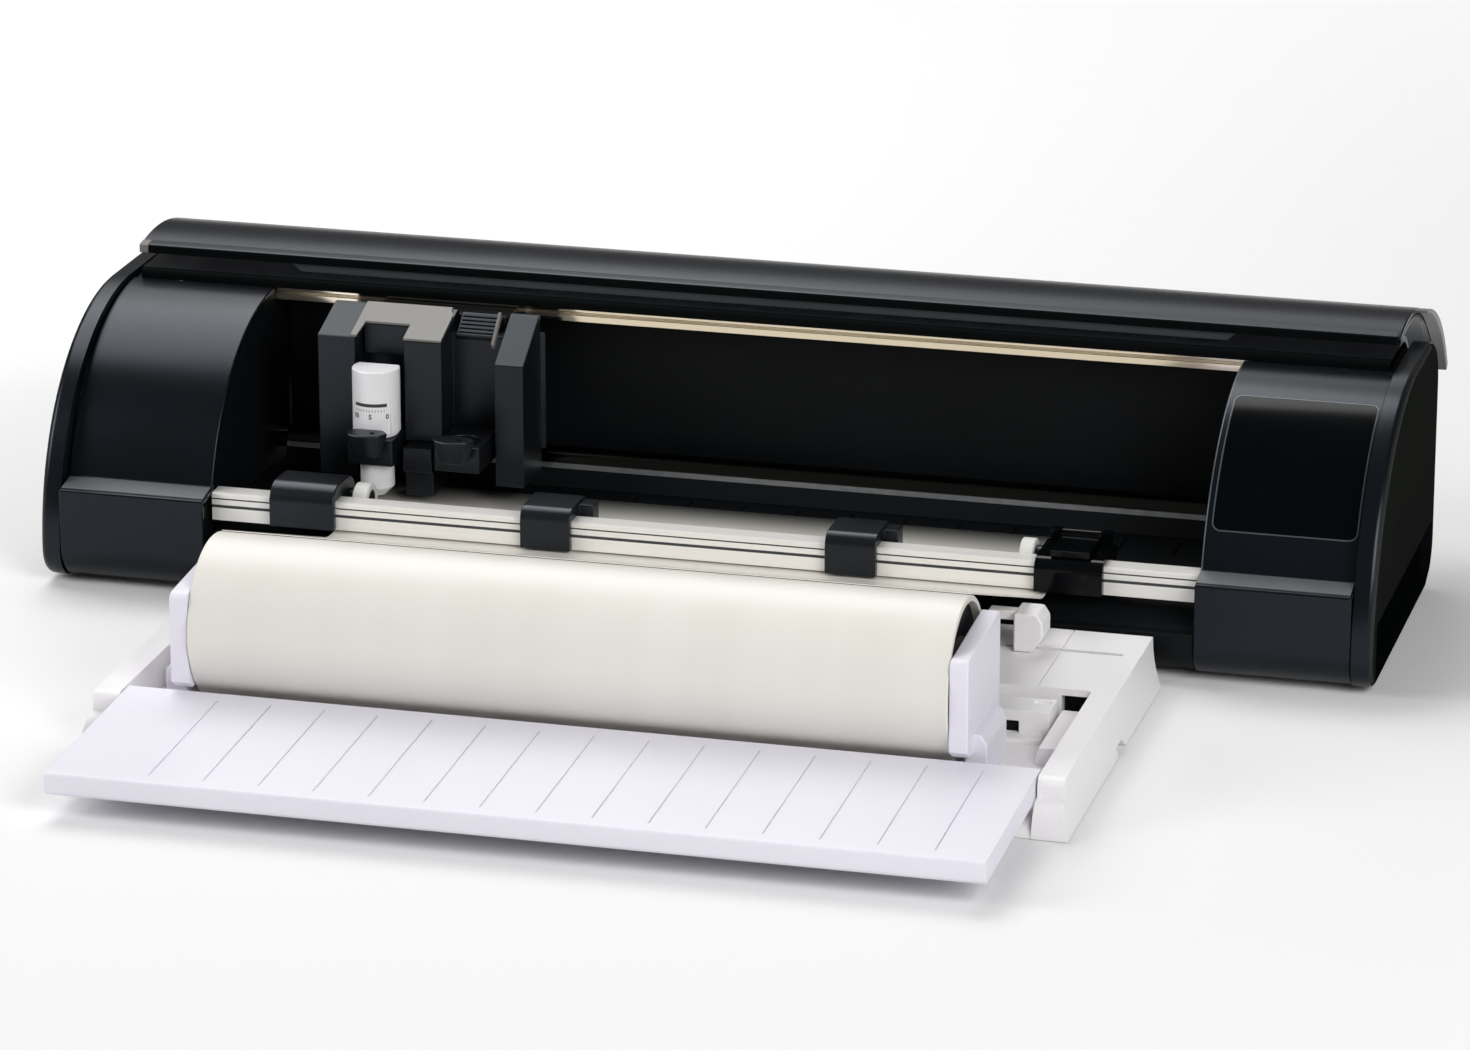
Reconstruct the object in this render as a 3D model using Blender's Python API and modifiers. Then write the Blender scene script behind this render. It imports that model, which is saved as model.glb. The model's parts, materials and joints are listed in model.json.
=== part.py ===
# Desktop cutting plotter with its roll-top lid open and a roll feeder docked in front.
# The machine is drawn with x = 0 at its middle, y = 0 at its lower front face and z = 0 on the table,
# and one empty then carries everything to the middle of the whole object's footprint.
import bmesh
import bpy
from math import asin, atan2, cos, hypot, pi, radians, sin, sqrt, tan

# Clearances
GAP = 0.0003
RUN = 0.0005

# Machine body
SIDE_HOUSING_WIDTH = 0.090
BODY_BACK = 0.194
BODY_TOP = 0.1365
END_PANEL_WIDTH = 0.0107
PANEL_FRONT = 0.0005
PANEL_BOTTOM = 0.002
PANEL_ARC = 0.117
PANEL_BACK_ROUND = 0.028
PANEL_HEEL_ROUND = 0.024
PANEL_TOE_ROUND = 0.017
PANEL_EDGE_ROUND = 0.004
GRIP_RECESS_HEIGHT = 0.031
GRIP_RECESS_DEPTH = 0.005
GRIP_RECESS_FRONT = 0.026
GRIP_RECESS_BACK = 0.168
FRAME_PLATE = 0.004
OPENING_WIDTH = 0.520
BULKHEAD_PLATE = 0.003
BULKHEAD_INSET = 0.002
COVER_WALL = 0.003
COVER_ARC = 0.1105
COVER_ARC_Y = 0.122
COVER_ARC_Z = 0.0235
LEDGE_FRONT_Z = 0.0527
LEDGE_BACK_Z = 0.0557
TOE_ROUND = 0.020
TOE_END = -172
APRON_FACE = 0.002
APRON_TOP = 0.0254
APRON_WALL = 0.0025
TRAY_PLATE = 0.003
TRAY_BOTTOM = 0.0032
TRAY_BACK = 0.190
TRAY_BACK_HEIGHT = 0.030
FOOT_RADIUS = 0.009
FOOT_INSET = 0.050
FOOT_FRONT = 0.045
FOOT_BACK = 0.170

# Rear cover and back wall
REAR_COVER_TOP = 0.139
REAR_COVER_BOTTOM = 0.066
REAR_COVER_ROUND = 0.024
BACK_WALL_Y = 0.150
BACK_WALL_PLATE = 0.0025
BACK_WALL_BOTTOM = 0.046

# Lid: an arc shell that turns about a low axis on the side frames' curved top edges
LID_AXIS_Y = 0.1473
LID_AXIS_Z = 0.0011
LID_LIP_SETBACK = 0.0101
LID_LIP_RISE = 0.0099
LID_RADIUS = 0.1115
LID_WALL = 0.003
LID_FRONT_ANGLE = -14.5
LID_BACK_ANGLE = 55
LID_GRIP_ANGLE = 5
LID_GRIP_DEPTH = 0.0022
LID_GRIP_INSET = 0.004
FRAME_ARC = 0.133
FRAME_BACK = 0.186

# Touch panel
TOUCH_LEFT_MARGIN = 0.0035
TOUCH_RIGHT_MARGIN = 0.0037
TOUCH_TOP_ANGLE = -19
TOUCH_LOW_ANGLE = -65
TOUCH_RECESS = 0.0015

# Media path
MOTOR_SIZE = 0.0423
MOTOR_LENGTH = 0.040
ROLLER_Y = 0.037
ROLLER_RADIUS = 0.0095
ROLLER_MARGIN = 0.004
SHAFT_RADIUS = 0.004
REAR_ROLLER_Y = 0.132
REAR_ROLLER_RADIUS = 0.0085
MEDIA_THICKNESS = 0.0004
MEDIA_END = 0.100
MEDIA_ENTRY = 0.004
MEDIA_BEND = 0.030
PLATEN_BACK = 0.118
PLATEN_DEPTH = 0.008
STRIP_WIDTH = 0.008
STRIP_DEPTH = 0.002
GEAR_MODULE = 0.001
GEAR_TEETH = 36
PINION_TEETH = 12
GEAR_WIDTH = 0.008
GEAR_BACKLASH = 0.0003
GEAR_TIP_SHARE = 0.12
GEAR_ROOT_SHARE = 0.30

# Front bar and pinch units
BAR_FRONT = 0.014
BAR_DEPTH = 0.012
BAR_HEIGHT = 0.0148
BAR_LIFT = 0.001
BAR_GROOVE = 0.0028
BAR_GROOVE_DEPTH = 0.0025
SADDLE_WALL = 0.0042
SADDLE_BACK = 0.046
SADDLE_TOP = 0.0645
PINCH_RADIUS = 0.0098
PINCH_WIDTH = 0.0115
PINCH_AXLE = 0.002
PINCH_AXLE_LENGTH = 0.009
LEFT_PINCH_OFFSET = 0.0154
RIGHT_PINCH_OFFSET = 0.0111
PINCH_HOUSING_WIDTH = 0.035
RIGHT_SADDLE_TOP = 0.0565
LEVER_WIDTH = 0.020
LEVER_PLATE = 0.0032
LEVER_BARREL = 0.0028
LEVER_PIN = 0.0012
LEVER_EAR = 0.005
CLIP_X = (-0.0788, 0.0817)
CLIP_WIDTH = 0.0265
CLIP_TOP = 0.0605
CLIP_BACK = 0.040
CLIP_TONGUE = 0.0075

# Carriage
RAIL_FRONT = 0.128
RAIL_DEPTH = 0.006
RAIL_BOTTOM = 0.1255
RAIL_HEIGHT = 0.008
CARRIAGE_FRONT = 0.078
CARRIAGE_BLOCK = 0.098
CARRIAGE_BACK = 0.112
CARRIAGE_PARK = 0.0381
PILLAR_WIDTH = 0.0203
BAY_WIDTH = 0.0269
CARRIAGE_BOTTOM = 0.048
PILLAR_TOP_FRONT = 0.1235
RIGHT_PILLAR_TOP_FRONT = 0.1140
PILLAR_TOP_BACK = 0.133
PILLAR_SLOPE_END = 0.108
SLIDER_BOTTOM = 0.116
SLIDER_WIDTH = 0.072
LABEL_PLATE = 0.0012
LABEL_NOTCH = 0.012
TOOL_Y = 0.072
TOOL_SHAFT = 0.009
TOOL_BOTTOM = 0.041
TOOL_CAP_RADIUS = 0.0125
TOOL_CAP_BOTTOM = 0.076
TOOL_CAP_TOP = 0.112
TOOL_CAP_FLAT = 0.006
HOLDER_BOTTOM = 0.060
HOLDER_TOP = 0.074
HOLDER_FRONT = 0.0595
HOLDER_SIDE = 0.0012
TAB_WIDTH = 0.0234
TAB_DEPTH = 0.0135
TAB_BOTTOM = 0.0672
TAB_HEIGHT = 0.0128
TAB_ROUND = 0.005
SENSOR_WIDTH = 0.016
SENSOR_TOP = 0.069
SENSOR_STEP = 0.056
SENSOR_BOTTOM = 0.042
SENSOR_FRONT = 0.066

# Carriage drive
BELT_HEIGHT = 0.006
BELT_BOTTOM = 0.127
BELT_THICKNESS = 0.0012
PULLEY_RADIUS = 0.0045
PULLEY_FLANGE = 0.0008
PULLEY_FLANGE_RADIUS = 0.0065
IDLER_BRACKET_HEIGHT = 0.014
PORT_MARGIN = 0.005
PORT_SPACING = 0.013
PORT_Z = 0.080
PORT_WIDTH = 0.014
PORT_HEIGHT = 0.011
PORT_DEPTH = 0.014
SCREW_HEAD = 0.003
SCREW_HEIGHT = 0.0015
SCREW_COUNT = 6
SCREW_INSET = 0.0197
SCREW_Z = 0.0725

# Roll feeder
FEEDER_FRONT = -0.2156
FEEDER_BACK = -0.0059
FEEDER_TOP = 0.026
FEEDER_FLOOR = 0.008
FEEDER_RAIL = 0.013
FEEDER_ROUND = 0.009
NOSE_FRONT = -0.229
NOSE_TOP = 0.016
NOSE_ROUND = 0.0125
BAY_BACK = -0.092
TONGUE_WIDTH = 0.040
TONGUE_INSET = 0.091
TONGUE_BOTTOM = 0.008
TONGUE_HEIGHT = 0.006
GUIDE_RAIL_Y = -0.124
GUIDE_RAIL_WIDTH = 0.012
GUIDE_RAIL_TOP = 0.022
ROLL_LENGTH = 0.377
LEFT_GUIDE_TRAVEL = 0.0093
RIGHT_GUIDE_TRAVEL = 0.0205
ROLL_Y = -0.170
ROLL_Z = 0.055
ROLL_RADIUS = 0.040
CORE_RADIUS = 0.0204
CORE_BORE = 0.018
HUB_LENGTH = 0.008
GUIDE_THICKNESS = 0.0093
GUIDE_FRONT = -0.2015
GUIDE_BACK = -0.1385
GUIDE_BOTTOM = 0.027
GUIDE_TOP = 0.0795
GUIDE_FOOT_WIDTH = 0.015
GUIDE_FOOT_FRONT = -0.165
GUIDE_FOOT_BACK = -0.112
GUIDE_FOOT_TOP = 0.038
FLAP_FRONT = -0.321
FLAP_FRONT_TOP = 0.0226
FLAP_THICKNESS = 0.0115
FLAP_BACK = -0.203
FLAP_AXIS_Y = -0.207
FLAP_AXIS_Z = 0.0185
FLAP_PIN = 0.003
FLAP_PIN_LENGTH = 0.006
CUTTER_PARK = 0.003
CUTTER_WIDTH = 0.0148
CUTTER_DEPTH = 0.019
CUTTER_TOP = 0.044
SLOT_Y = -0.0365
SLOT_WIDTH = 0.003
SLOT_DEPTH = 0.003
SLOT_LEFT_MARGIN = 0.045
SLOT_RIGHT_MARGIN = 0.009

# Places worked out from the sizes above
OPENING_HALF = OPENING_WIDTH / 2
BODY_HALF = OPENING_HALF + SIDE_HOUSING_WIDTH
PANEL_IN = BODY_HALF - END_PANEL_WIDTH
FRAME_OUT = PANEL_IN - GAP
FRAME_IN = FRAME_OUT - FRAME_PLATE
COVER_OUT = FRAME_IN - GAP
TOUCH_LEFT = OPENING_HALF + TOUCH_LEFT_MARGIN
TOUCH_RIGHT = COVER_OUT - TOUCH_RIGHT_MARGIN
BULKHEAD_IN = OPENING_HALF + BULKHEAD_INSET
BULKHEAD_OUT = BULKHEAD_IN + BULKHEAD_PLATE
SPAN_HALF = BULKHEAD_IN - GAP
TRAY_TOP = TRAY_BOTTOM + TRAY_PLATE
ROLLER_Z = TRAY_TOP + GAP + MOTOR_SIZE / 2
MEDIA_TOP = ROLLER_Z + ROLLER_RADIUS + GAP + MEDIA_THICKNESS
REAR_ROLLER_Z = MEDIA_TOP + RUN + REAR_ROLLER_RADIUS
PLATEN_TOP = ROLLER_Z + ROLLER_RADIUS - GAP
PLATEN_FRONT = ROLLER_Y + ROLLER_RADIUS + RUN
BAR_BACK = BAR_FRONT + BAR_DEPTH
BAR_BOTTOM = MEDIA_TOP + BAR_LIFT
BAR_TOP = BAR_BOTTOM + BAR_HEIGHT
PINCH_Z = MEDIA_TOP + GAP + PINCH_RADIUS
PINCH_Y = BAR_BACK + 2 * RUN + PINCH_RADIUS
REAR_COVER_FRONT = COVER_ARC_Y + GAP
REAR_COVER_LIP = COVER_ARC_Z + COVER_ARC - COVER_WALL
CARRIAGE_LEFT = CARRIAGE_PARK - OPENING_HALF
TOOL_1_X = CARRIAGE_LEFT + PILLAR_WIDTH + BAY_WIDTH / 2
TOOL_2_X = TOOL_1_X + PILLAR_WIDTH + BAY_WIDTH
CARRIAGE_RIGHT = CARRIAGE_LEFT + 3 * PILLAR_WIDTH + 2 * BAY_WIDTH
CARRIAGE_MIDDLE = (CARRIAGE_LEFT + CARRIAGE_RIGHT) / 2
CARRIAGE_TAIL = RAIL_FRONT + RAIL_DEPTH + GAP + 0.0014
PULLEY_Y = CARRIAGE_TAIL + GAP + BELT_THICKNESS + GAP + PULLEY_RADIUS
PULLEY_X = BULKHEAD_OUT + GAP + MOTOR_SIZE / 2
MOTOR_TOP = BELT_BOTTOM - PULLEY_FLANGE - 2 * GAP
PINION_Y = ROLLER_Y + GEAR_MODULE * (GEAR_TEETH + PINION_TEETH) / 2 + GEAR_BACKLASH
DATA_PORT_X = BULKHEAD_OUT + PORT_MARGIN + PORT_WIDTH / 2
JACK_X = DATA_PORT_X + PORT_WIDTH + PORT_SPACING
GUIDE_REACH = GAP + GUIDE_THICKNESS + GUIDE_FOOT_WIDTH
BAY_HALF = (ROLL_LENGTH + 2 * GUIDE_REACH + LEFT_GUIDE_TRAVEL + RIGHT_GUIDE_TRAVEL) / 2
FEEDER_HALF = BAY_HALF + FEEDER_RAIL
ROLL_LEFT = LEFT_GUIDE_TRAVEL + GUIDE_REACH - BAY_HALF
ROLL_RIGHT = ROLL_LEFT + ROLL_LENGTH
ROLL_X = (ROLL_LEFT + ROLL_RIGHT) / 2
LEFT_PINCH_X = ROLL_LEFT - LEFT_PINCH_OFFSET
RIGHT_PINCH_X = ROLL_RIGHT + RIGHT_PINCH_OFFSET
CUTTER_X = ROLL_RIGHT + CUTTER_PARK
SLOT_LEFT = SLOT_LEFT_MARGIN - FEEDER_HALF
SLOT_RIGHT = FEEDER_HALF - SLOT_RIGHT_MARGIN
TONGUE_X = FEEDER_HALF - TONGUE_INSET
LID_CENTRE_Y = COVER_ARC_Y + LID_LIP_SETBACK - LID_RADIUS * sin(radians(LID_FRONT_ANGLE))
LID_CENTRE_Z = REAR_COVER_TOP + LID_LIP_RISE - LID_RADIUS * cos(radians(LID_FRONT_ANGLE))
LID_BACK_Y = LID_CENTRE_Y + LID_RADIUS * sin(radians(LID_BACK_ANGLE))
MIDDLE_Y = (FLAP_FRONT + LID_BACK_Y) / 2

for old in list(bpy.data.objects):
    bpy.data.objects.remove(old, do_unlink=True)

parts = bpy.data.collections.new("cutting_plotter")
cutters = bpy.data.collections.new("cutting_plotter_cutters")
bpy.context.scene.collection.children.link(parts)
bpy.context.scene.collection.children.link(cutters)

footprint = bpy.data.objects.new("footprint_middle", None)
footprint.location = (0, -MIDDLE_Y, 0)
parts.objects.link(footprint)


def finish(name, colour, roughness, metallic=0.0):
    material = bpy.data.materials.new(name)
    material.use_nodes = True
    shader = material.node_tree.nodes["Principled BSDF"]
    shader.inputs["Base Color"].default_value = (*colour, 1.0)
    shader.inputs["Roughness"].default_value = roughness
    shader.inputs["Metallic"].default_value = metallic
    return material


GLOSS_BLACK = finish("gloss black moulding", (0.008, 0.009, 0.010), 0.15)
SATIN_BLACK = finish("satin black moulding", (0.015, 0.016, 0.017), 0.4)
CHARCOAL = finish("charcoal moulding", (0.025, 0.027, 0.030), 0.45)
LABEL_GREY = finish("warm grey label", (0.38, 0.36, 0.34), 0.5)
ALUMINIUM = finish("extruded aluminium", (0.82, 0.82, 0.81), 0.35, 1.0)
STEEL = finish("steel", (0.45, 0.45, 0.46), 0.35, 1.0)
RUBBER = finish("black rubber", (0.02, 0.02, 0.02), 0.8)
FEEDER_WHITE = finish("white moulding", (0.85, 0.85, 0.89), 0.4)
PAPER = finish("media", (0.88, 0.88, 0.85), 0.55)
CARDBOARD = finish("core board", (0.30, 0.26, 0.22), 0.8)
TOOL_WHITE = finish("white tool moulding", (0.85, 0.85, 0.85), 0.4)


def place(name, mesh, material, location, rotation=(0, 0, 0), helper=False):
    piece = bpy.data.objects.new(name, mesh)
    piece.location = location
    piece.rotation_euler = rotation
    piece.parent = footprint
    if helper:
        piece.hide_render = True
        piece.display_type = "WIRE"
        cutters.objects.link(piece)
    else:
        mesh.materials.append(material)
        parts.objects.link(piece)
    return piece


def cut(piece, tool, operation="DIFFERENCE"):
    step = piece.modifiers.new(tool.name, "BOOLEAN")
    step.operation = operation
    step.object = tool


def join(piece, tool):
    cut(piece, tool, "UNION")


def smooth(mesh):
    mesh.shade_smooth()
    mesh.set_sharp_from_angle(angle=radians(35))


# Outlines are lists of (y, z) points seen from the right end, or (x, y) points seen from above.
def arc(centre, radius, start, end, steps):
    # Angles are in degrees from straight up, positive towards the back.
    turns = [radians(start + (end - start) * i / steps) for i in range(steps + 1)]
    return [(centre[0] + radius * sin(a), centre[1] + radius * cos(a)) for a in turns]


def rounded(corners, closed=True, steps=6):
    # Each corner is (u, v, radius), and a corner of no radius stays sharp.
    points = []
    count = len(corners)
    for i, (u, v, radius) in enumerate(corners):
        if radius == 0 or (not closed and i in (0, count - 1)):
            points.append((u, v))
            continue
        before = corners[i - 1]
        after = corners[(i + 1) % count]
        a = (before[0] - u, before[1] - v)
        b = (after[0] - u, after[1] - v)
        la, lb = hypot(*a), hypot(*b)
        a, b = (a[0] / la, a[1] / la), (b[0] / lb, b[1] / lb)
        half = (pi - abs(atan2(a[0] * b[1] - a[1] * b[0], a[0] * b[0] + a[1] * b[1]))) / 2
        reach = min(radius * tan(half), 0.48 * la, 0.48 * lb)
        start = (u + a[0] * reach, v + a[1] * reach)
        end = (u + b[0] * reach, v + b[1] * reach)
        for k in range(steps + 1):
            t = k / steps
            w0, w1, w2 = (1 - t) ** 2, 2 * t * (1 - t) * cos(half), t ** 2
            total = w0 + w1 + w2
            points.append(((w0 * start[0] + w1 * u + w2 * end[0]) / total,
                           (w0 * start[1] + w1 * v + w2 * end[1]) / total))
    return points


def walled(path, thickness):
    # Closes an open path into a wall that lies on the right of its direction of travel.
    inner = []
    last = len(path) - 1
    for i, point in enumerate(path):
        normals = []
        for j in (i - 1, i):
            if 0 <= j < last:
                du, dv = path[j + 1][0] - path[j][0], path[j + 1][1] - path[j][1]
                length = hypot(du, dv)
                normals.append((dv / length, -du / length))
        nu = sum(n[0] for n in normals) / len(normals)
        nv = sum(n[1] for n in normals) / len(normals)
        scale = thickness / (nu * nu + nv * nv)
        inner.append((point[0] + nu * scale, point[1] + nv * scale))
    return path + inner[::-1]


def slab(outlines, depth):
    # A flat outline, with any holes, given a thickness about its own plane.
    shape = bpy.data.curves.new("outline", "CURVE")
    shape.dimensions = "2D"
    shape.fill_mode = "BOTH"
    shape.extrude = depth / 2
    for outline in outlines:
        spline = shape.splines.new("POLY")
        spline.points.add(len(outline) - 1)
        for point, (u, v) in zip(spline.points, outline):
            point.co = (u, v, 0, 1)
        spline.use_cyclic_u = True
    drawn = bpy.data.objects.new("outline", shape)
    cutters.objects.link(drawn)
    bpy.context.view_layer.update()
    graph = bpy.context.evaluated_depsgraph_get()
    mesh = bpy.data.meshes.new_from_object(drawn.evaluated_get(graph))
    bpy.data.objects.remove(drawn, do_unlink=True)
    bpy.data.curves.remove(shape)
    body = bmesh.new()
    body.from_mesh(mesh)
    bmesh.ops.remove_doubles(body, verts=body.verts, dist=1e-6)
    bmesh.ops.recalc_face_normals(body, faces=body.faces)
    body.to_mesh(mesh)
    body.free()
    mesh.materials.clear()
    return mesh


def extruded(name, outline, x0, x1, material=None, origin=(0, 0), helper=False):
    # An outline seen from the right end, carried along x from x0 to x1.
    moved = [(y - origin[0], z - origin[1]) for y, z in outline]
    mesh = slab([moved], abs(x1 - x0))
    smooth(mesh)
    return place(name, mesh, material, ((x0 + x1) / 2, *origin), (pi / 2, 0, pi / 2), helper)


def box(name, low, high, material=None, round_edge=0.0, helper=False):
    size = [b - a for a, b in zip(low, high)]
    mesh = bpy.data.meshes.new(name)
    body = bmesh.new()
    bmesh.ops.create_cube(body, size=1.0)
    bmesh.ops.scale(body, vec=size, verts=body.verts)
    body.to_mesh(mesh)
    body.free()
    middle = [(a + b) / 2 for a, b in zip(low, high)]
    piece = place(name, mesh, material, middle, helper=helper)
    if round_edge:
        edge = piece.modifiers.new("rounded edges", "BEVEL")
        edge.width = round_edge
        edge.segments = 2
    return piece


# Turned pieces lie along x or stand along z.
def turned(name, profile, location, along, material=None, steps=32, helper=False, ring=False):
    # The profile is a list of (distance along the axis, radius), from the far end to the near end.
    mesh = bpy.data.meshes.new(name)
    links = [(i, i + 1) for i in range(len(profile) - 1)]
    if ring:
        links.append((len(profile) - 1, 0))
    mesh.from_pydata([(radius, 0, far) for far, radius in profile], links, [])
    rotation = (0, pi / 2, 0) if along == "X" else (0, 0, 0)
    piece = place(name, mesh, material, location, rotation, helper)
    lathe = piece.modifiers.new("turned", "SCREW")
    lathe.steps = steps
    lathe.render_steps = steps
    lathe.use_merge_vertices = True
    lathe.merge_threshold = 1e-6
    lathe.use_smooth_shade = False
    return piece


def rod(near, far, radius):
    return [(far, 0), (far, radius), (near, radius), (near, 0)]


def hole(name, location, along, near, far, radius):
    return turned(name, rod(near, far, radius), location, along, steps=24, helper=True)


# Machine shell
def end_panel(name, side):
    centre = (PANEL_FRONT + PANEL_ARC, BODY_TOP - PANEL_ARC)
    corners = [(y, z, 0) for y, z in arc(centre, PANEL_ARC, -90, 0, 20)]
    corners.append((BODY_BACK, BODY_TOP, PANEL_BACK_ROUND))
    corners.append((BODY_BACK, PANEL_BOTTOM, PANEL_HEEL_ROUND))
    corners.append((PANEL_FRONT, PANEL_BOTTOM, PANEL_TOE_ROUND))
    outer = BODY_HALF
    piece = extruded(name, rounded(corners), side * PANEL_IN, side * outer, GLOSS_BLACK)
    body = bmesh.new()
    body.from_mesh(piece.data)
    weight = body.edges.layers.float.new("bevel_weight_edge")
    rim = side * END_PANEL_WIDTH / 2
    for edge in body.edges:
        on_rim = all(abs(vert.co.z - rim) < 1e-6 for vert in edge.verts)
        edge[weight] = 1.0 if on_rim and edge.calc_face_angle(0) > radians(45) else 0.0
    body.to_mesh(piece.data)
    body.free()
    edge = piece.modifiers.new("rounded rim", "BEVEL")
    edge.limit_method = "WEIGHT"
    edge.width = PANEL_EDGE_ROUND
    edge.segments = 3
    low = (min(side * (outer - GRIP_RECESS_DEPTH), side * (outer + RUN)), GRIP_RECESS_FRONT, -RUN)
    high = (max(side * (outer - GRIP_RECESS_DEPTH), side * (outer + RUN)), GRIP_RECESS_BACK, GRIP_RECESS_HEIGHT)
    cut(piece, box(name + "_hand_recess", low, high, helper=True))


def side_frame(name, side):
    bottom = TRAY_TOP + GAP
    axis = (LID_AXIS_Y, LID_AXIS_Z)
    start = -90 + atan2(bottom - LID_AXIS_Z, FRAME_ARC) * 180 / pi
    end = asin((FRAME_BACK - PANEL_BACK_ROUND / 2 - LID_AXIS_Y) / FRAME_ARC) * 180 / pi
    outline = arc(axis, FRAME_ARC, start, end, 20)
    outline += [(FRAME_BACK, BODY_TOP - PANEL_BACK_ROUND), (FRAME_BACK, bottom)]
    extruded(name, outline, side * FRAME_IN, side * FRAME_OUT, SATIN_BLACK)


def bulkhead(name, side):
    inner = COVER_ARC - COVER_WALL - 2 * GAP
    bottom = TRAY_TOP + GAP
    front = COVER_WALL + COVER_WALL
    step = LEDGE_BACK_Z - 2 * COVER_WALL
    start = -90 + asin((step - COVER_ARC_Z) / inner) * 180 / pi
    outline = [(TOE_ROUND, bottom), (front, TOE_ROUND), (front, step - COVER_WALL)]
    outline += arc((COVER_ARC_Y, COVER_ARC_Z), inner, start, 0, 16)
    top = COVER_ARC_Z + inner
    back = TRAY_BACK - COVER_WALL - GAP
    outline += [(back - REAR_COVER_ROUND, top), (back, top - REAR_COVER_ROUND), (back, bottom)]
    piece = extruded(name, outline, side * BULKHEAD_IN, side * BULKHEAD_OUT, SATIN_BLACK)
    reach = BULKHEAD_PLATE
    middle = side * (BULKHEAD_IN + BULKHEAD_OUT) / 2
    for label, y, z in (("drive", ROLLER_Y, ROLLER_Z), ("rear", REAR_ROLLER_Y, REAR_ROLLER_Z)):
        cut(piece, hole(name + "_" + label + "_bush", (middle, y, z), "X", -reach, reach, SHAFT_RADIUS + GAP))
    belt_reach = PULLEY_RADIUS + GAP + BELT_THICKNESS + 2 * RUN
    low = (middle - reach, PULLEY_Y - belt_reach, BELT_BOTTOM - 2 * RUN)
    high = (middle + reach, PULLEY_Y + belt_reach, top + reach)
    cut(piece, box(name + "_belt_notch", low, high, helper=True))


def cover_path():
    start = -90 + asin((LEDGE_BACK_Z - COVER_ARC_Z) / COVER_ARC) * 180 / pi
    path = arc((TOE_ROUND, PANEL_BOTTOM + TOE_ROUND), TOE_ROUND, TOE_END, -90, 6)
    path.append((0, LEDGE_FRONT_Z))
    return path + arc((COVER_ARC_Y, COVER_ARC_Z), COVER_ARC, start, 0, 20)


def cover(name, side):
    outline = walled(cover_path(), COVER_WALL)
    return extruded(name, outline, side * OPENING_HALF, side * COVER_OUT, GLOSS_BLACK)


def touch_panel(carrier):
    centre = (COVER_ARC_Y, COVER_ARC_Z)
    floor = COVER_ARC - TOUCH_RECESS
    recess = arc(centre, COVER_ARC + COVER_WALL, TOUCH_LOW_ANGLE, TOUCH_TOP_ANGLE, 12)
    recess += arc(centre, floor, TOUCH_TOP_ANGLE, TOUCH_LOW_ANGLE, 12)
    cut(carrier, extruded("touch_recess", recess, TOUCH_LEFT - GAP, TOUCH_RIGHT + GAP, helper=True))
    margin = GAP / COVER_ARC * 180 / pi
    low, top = TOUCH_LOW_ANGLE + margin, TOUCH_TOP_ANGLE - margin
    glass = arc(centre, COVER_ARC - GAP / 3, low, top, 12)
    glass += arc(centre, floor + GAP, top, low, 12)
    extruded("touch_panel", glass, TOUCH_LEFT, TOUCH_RIGHT, GLOSS_BLACK)


def rear_cover():
    path = [(REAR_COVER_FRONT, REAR_COVER_LIP, 0), (REAR_COVER_FRONT, REAR_COVER_TOP, COVER_WALL),
            (TRAY_BACK, REAR_COVER_TOP, REAR_COVER_ROUND), (TRAY_BACK, REAR_COVER_BOTTOM, 0)]
    outline = walled(rounded(path, closed=False), COVER_WALL)
    piece = extruded("rear_cover", outline, -COVER_OUT, COVER_OUT, GLOSS_BLACK)
    for name, x in (("power_jack", JACK_X), ("data_port", DATA_PORT_X)):
        half = PORT_WIDTH / 2
        low = (x - half - GAP, TRAY_BACK - 2 * COVER_WALL, PORT_Z - GAP)
        high = (x + half + GAP, TRAY_BACK + COVER_WALL, PORT_Z + PORT_HEIGHT + GAP)
        cut(piece, box(name + "_cut", low, high, helper=True))
        low = (x - half, TRAY_BACK - PORT_DEPTH, PORT_Z)
        port = box(name, low, (x + half, TRAY_BACK - GAP, PORT_Z + PORT_HEIGHT), SATIN_BLACK)
        mouth = (x, TRAY_BACK, PORT_Z + PORT_HEIGHT / 2)
        reach = PORT_DEPTH / 2
        if name == "power_jack":
            well = hole("power_jack_well", mouth, "X", -reach, reach, PORT_HEIGHT / 3)
            well.rotation_euler = (pi / 2, 0, 0)
        else:
            third = PORT_WIDTH / 3
            low = (x - third, TRAY_BACK - reach, mouth[2] - third / 2)
            well = box("data_port_well", low, (x + third, TRAY_BACK, mouth[2] + third / 2), helper=True)
        cut(port, well)
    head = [(SCREW_HEIGHT, 0), (SCREW_HEIGHT, SCREW_HEAD * 0.7), (SCREW_HEIGHT / 2, SCREW_HEAD),
            (-RUN, SCREW_HEAD), (-RUN, 0)]
    for i in range(SCREW_COUNT):
        x = (COVER_OUT - SCREW_INSET) * (2 * i / (SCREW_COUNT - 1) - 1)
        screw = turned("cover_screw_%d" % (i + 1), head, (x, TRAY_BACK, SCREW_Z), "Z", steps=12, helper=True)
        screw.rotation_euler = (-pi / 2, 0, 0)
        join(piece, screw)


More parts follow.
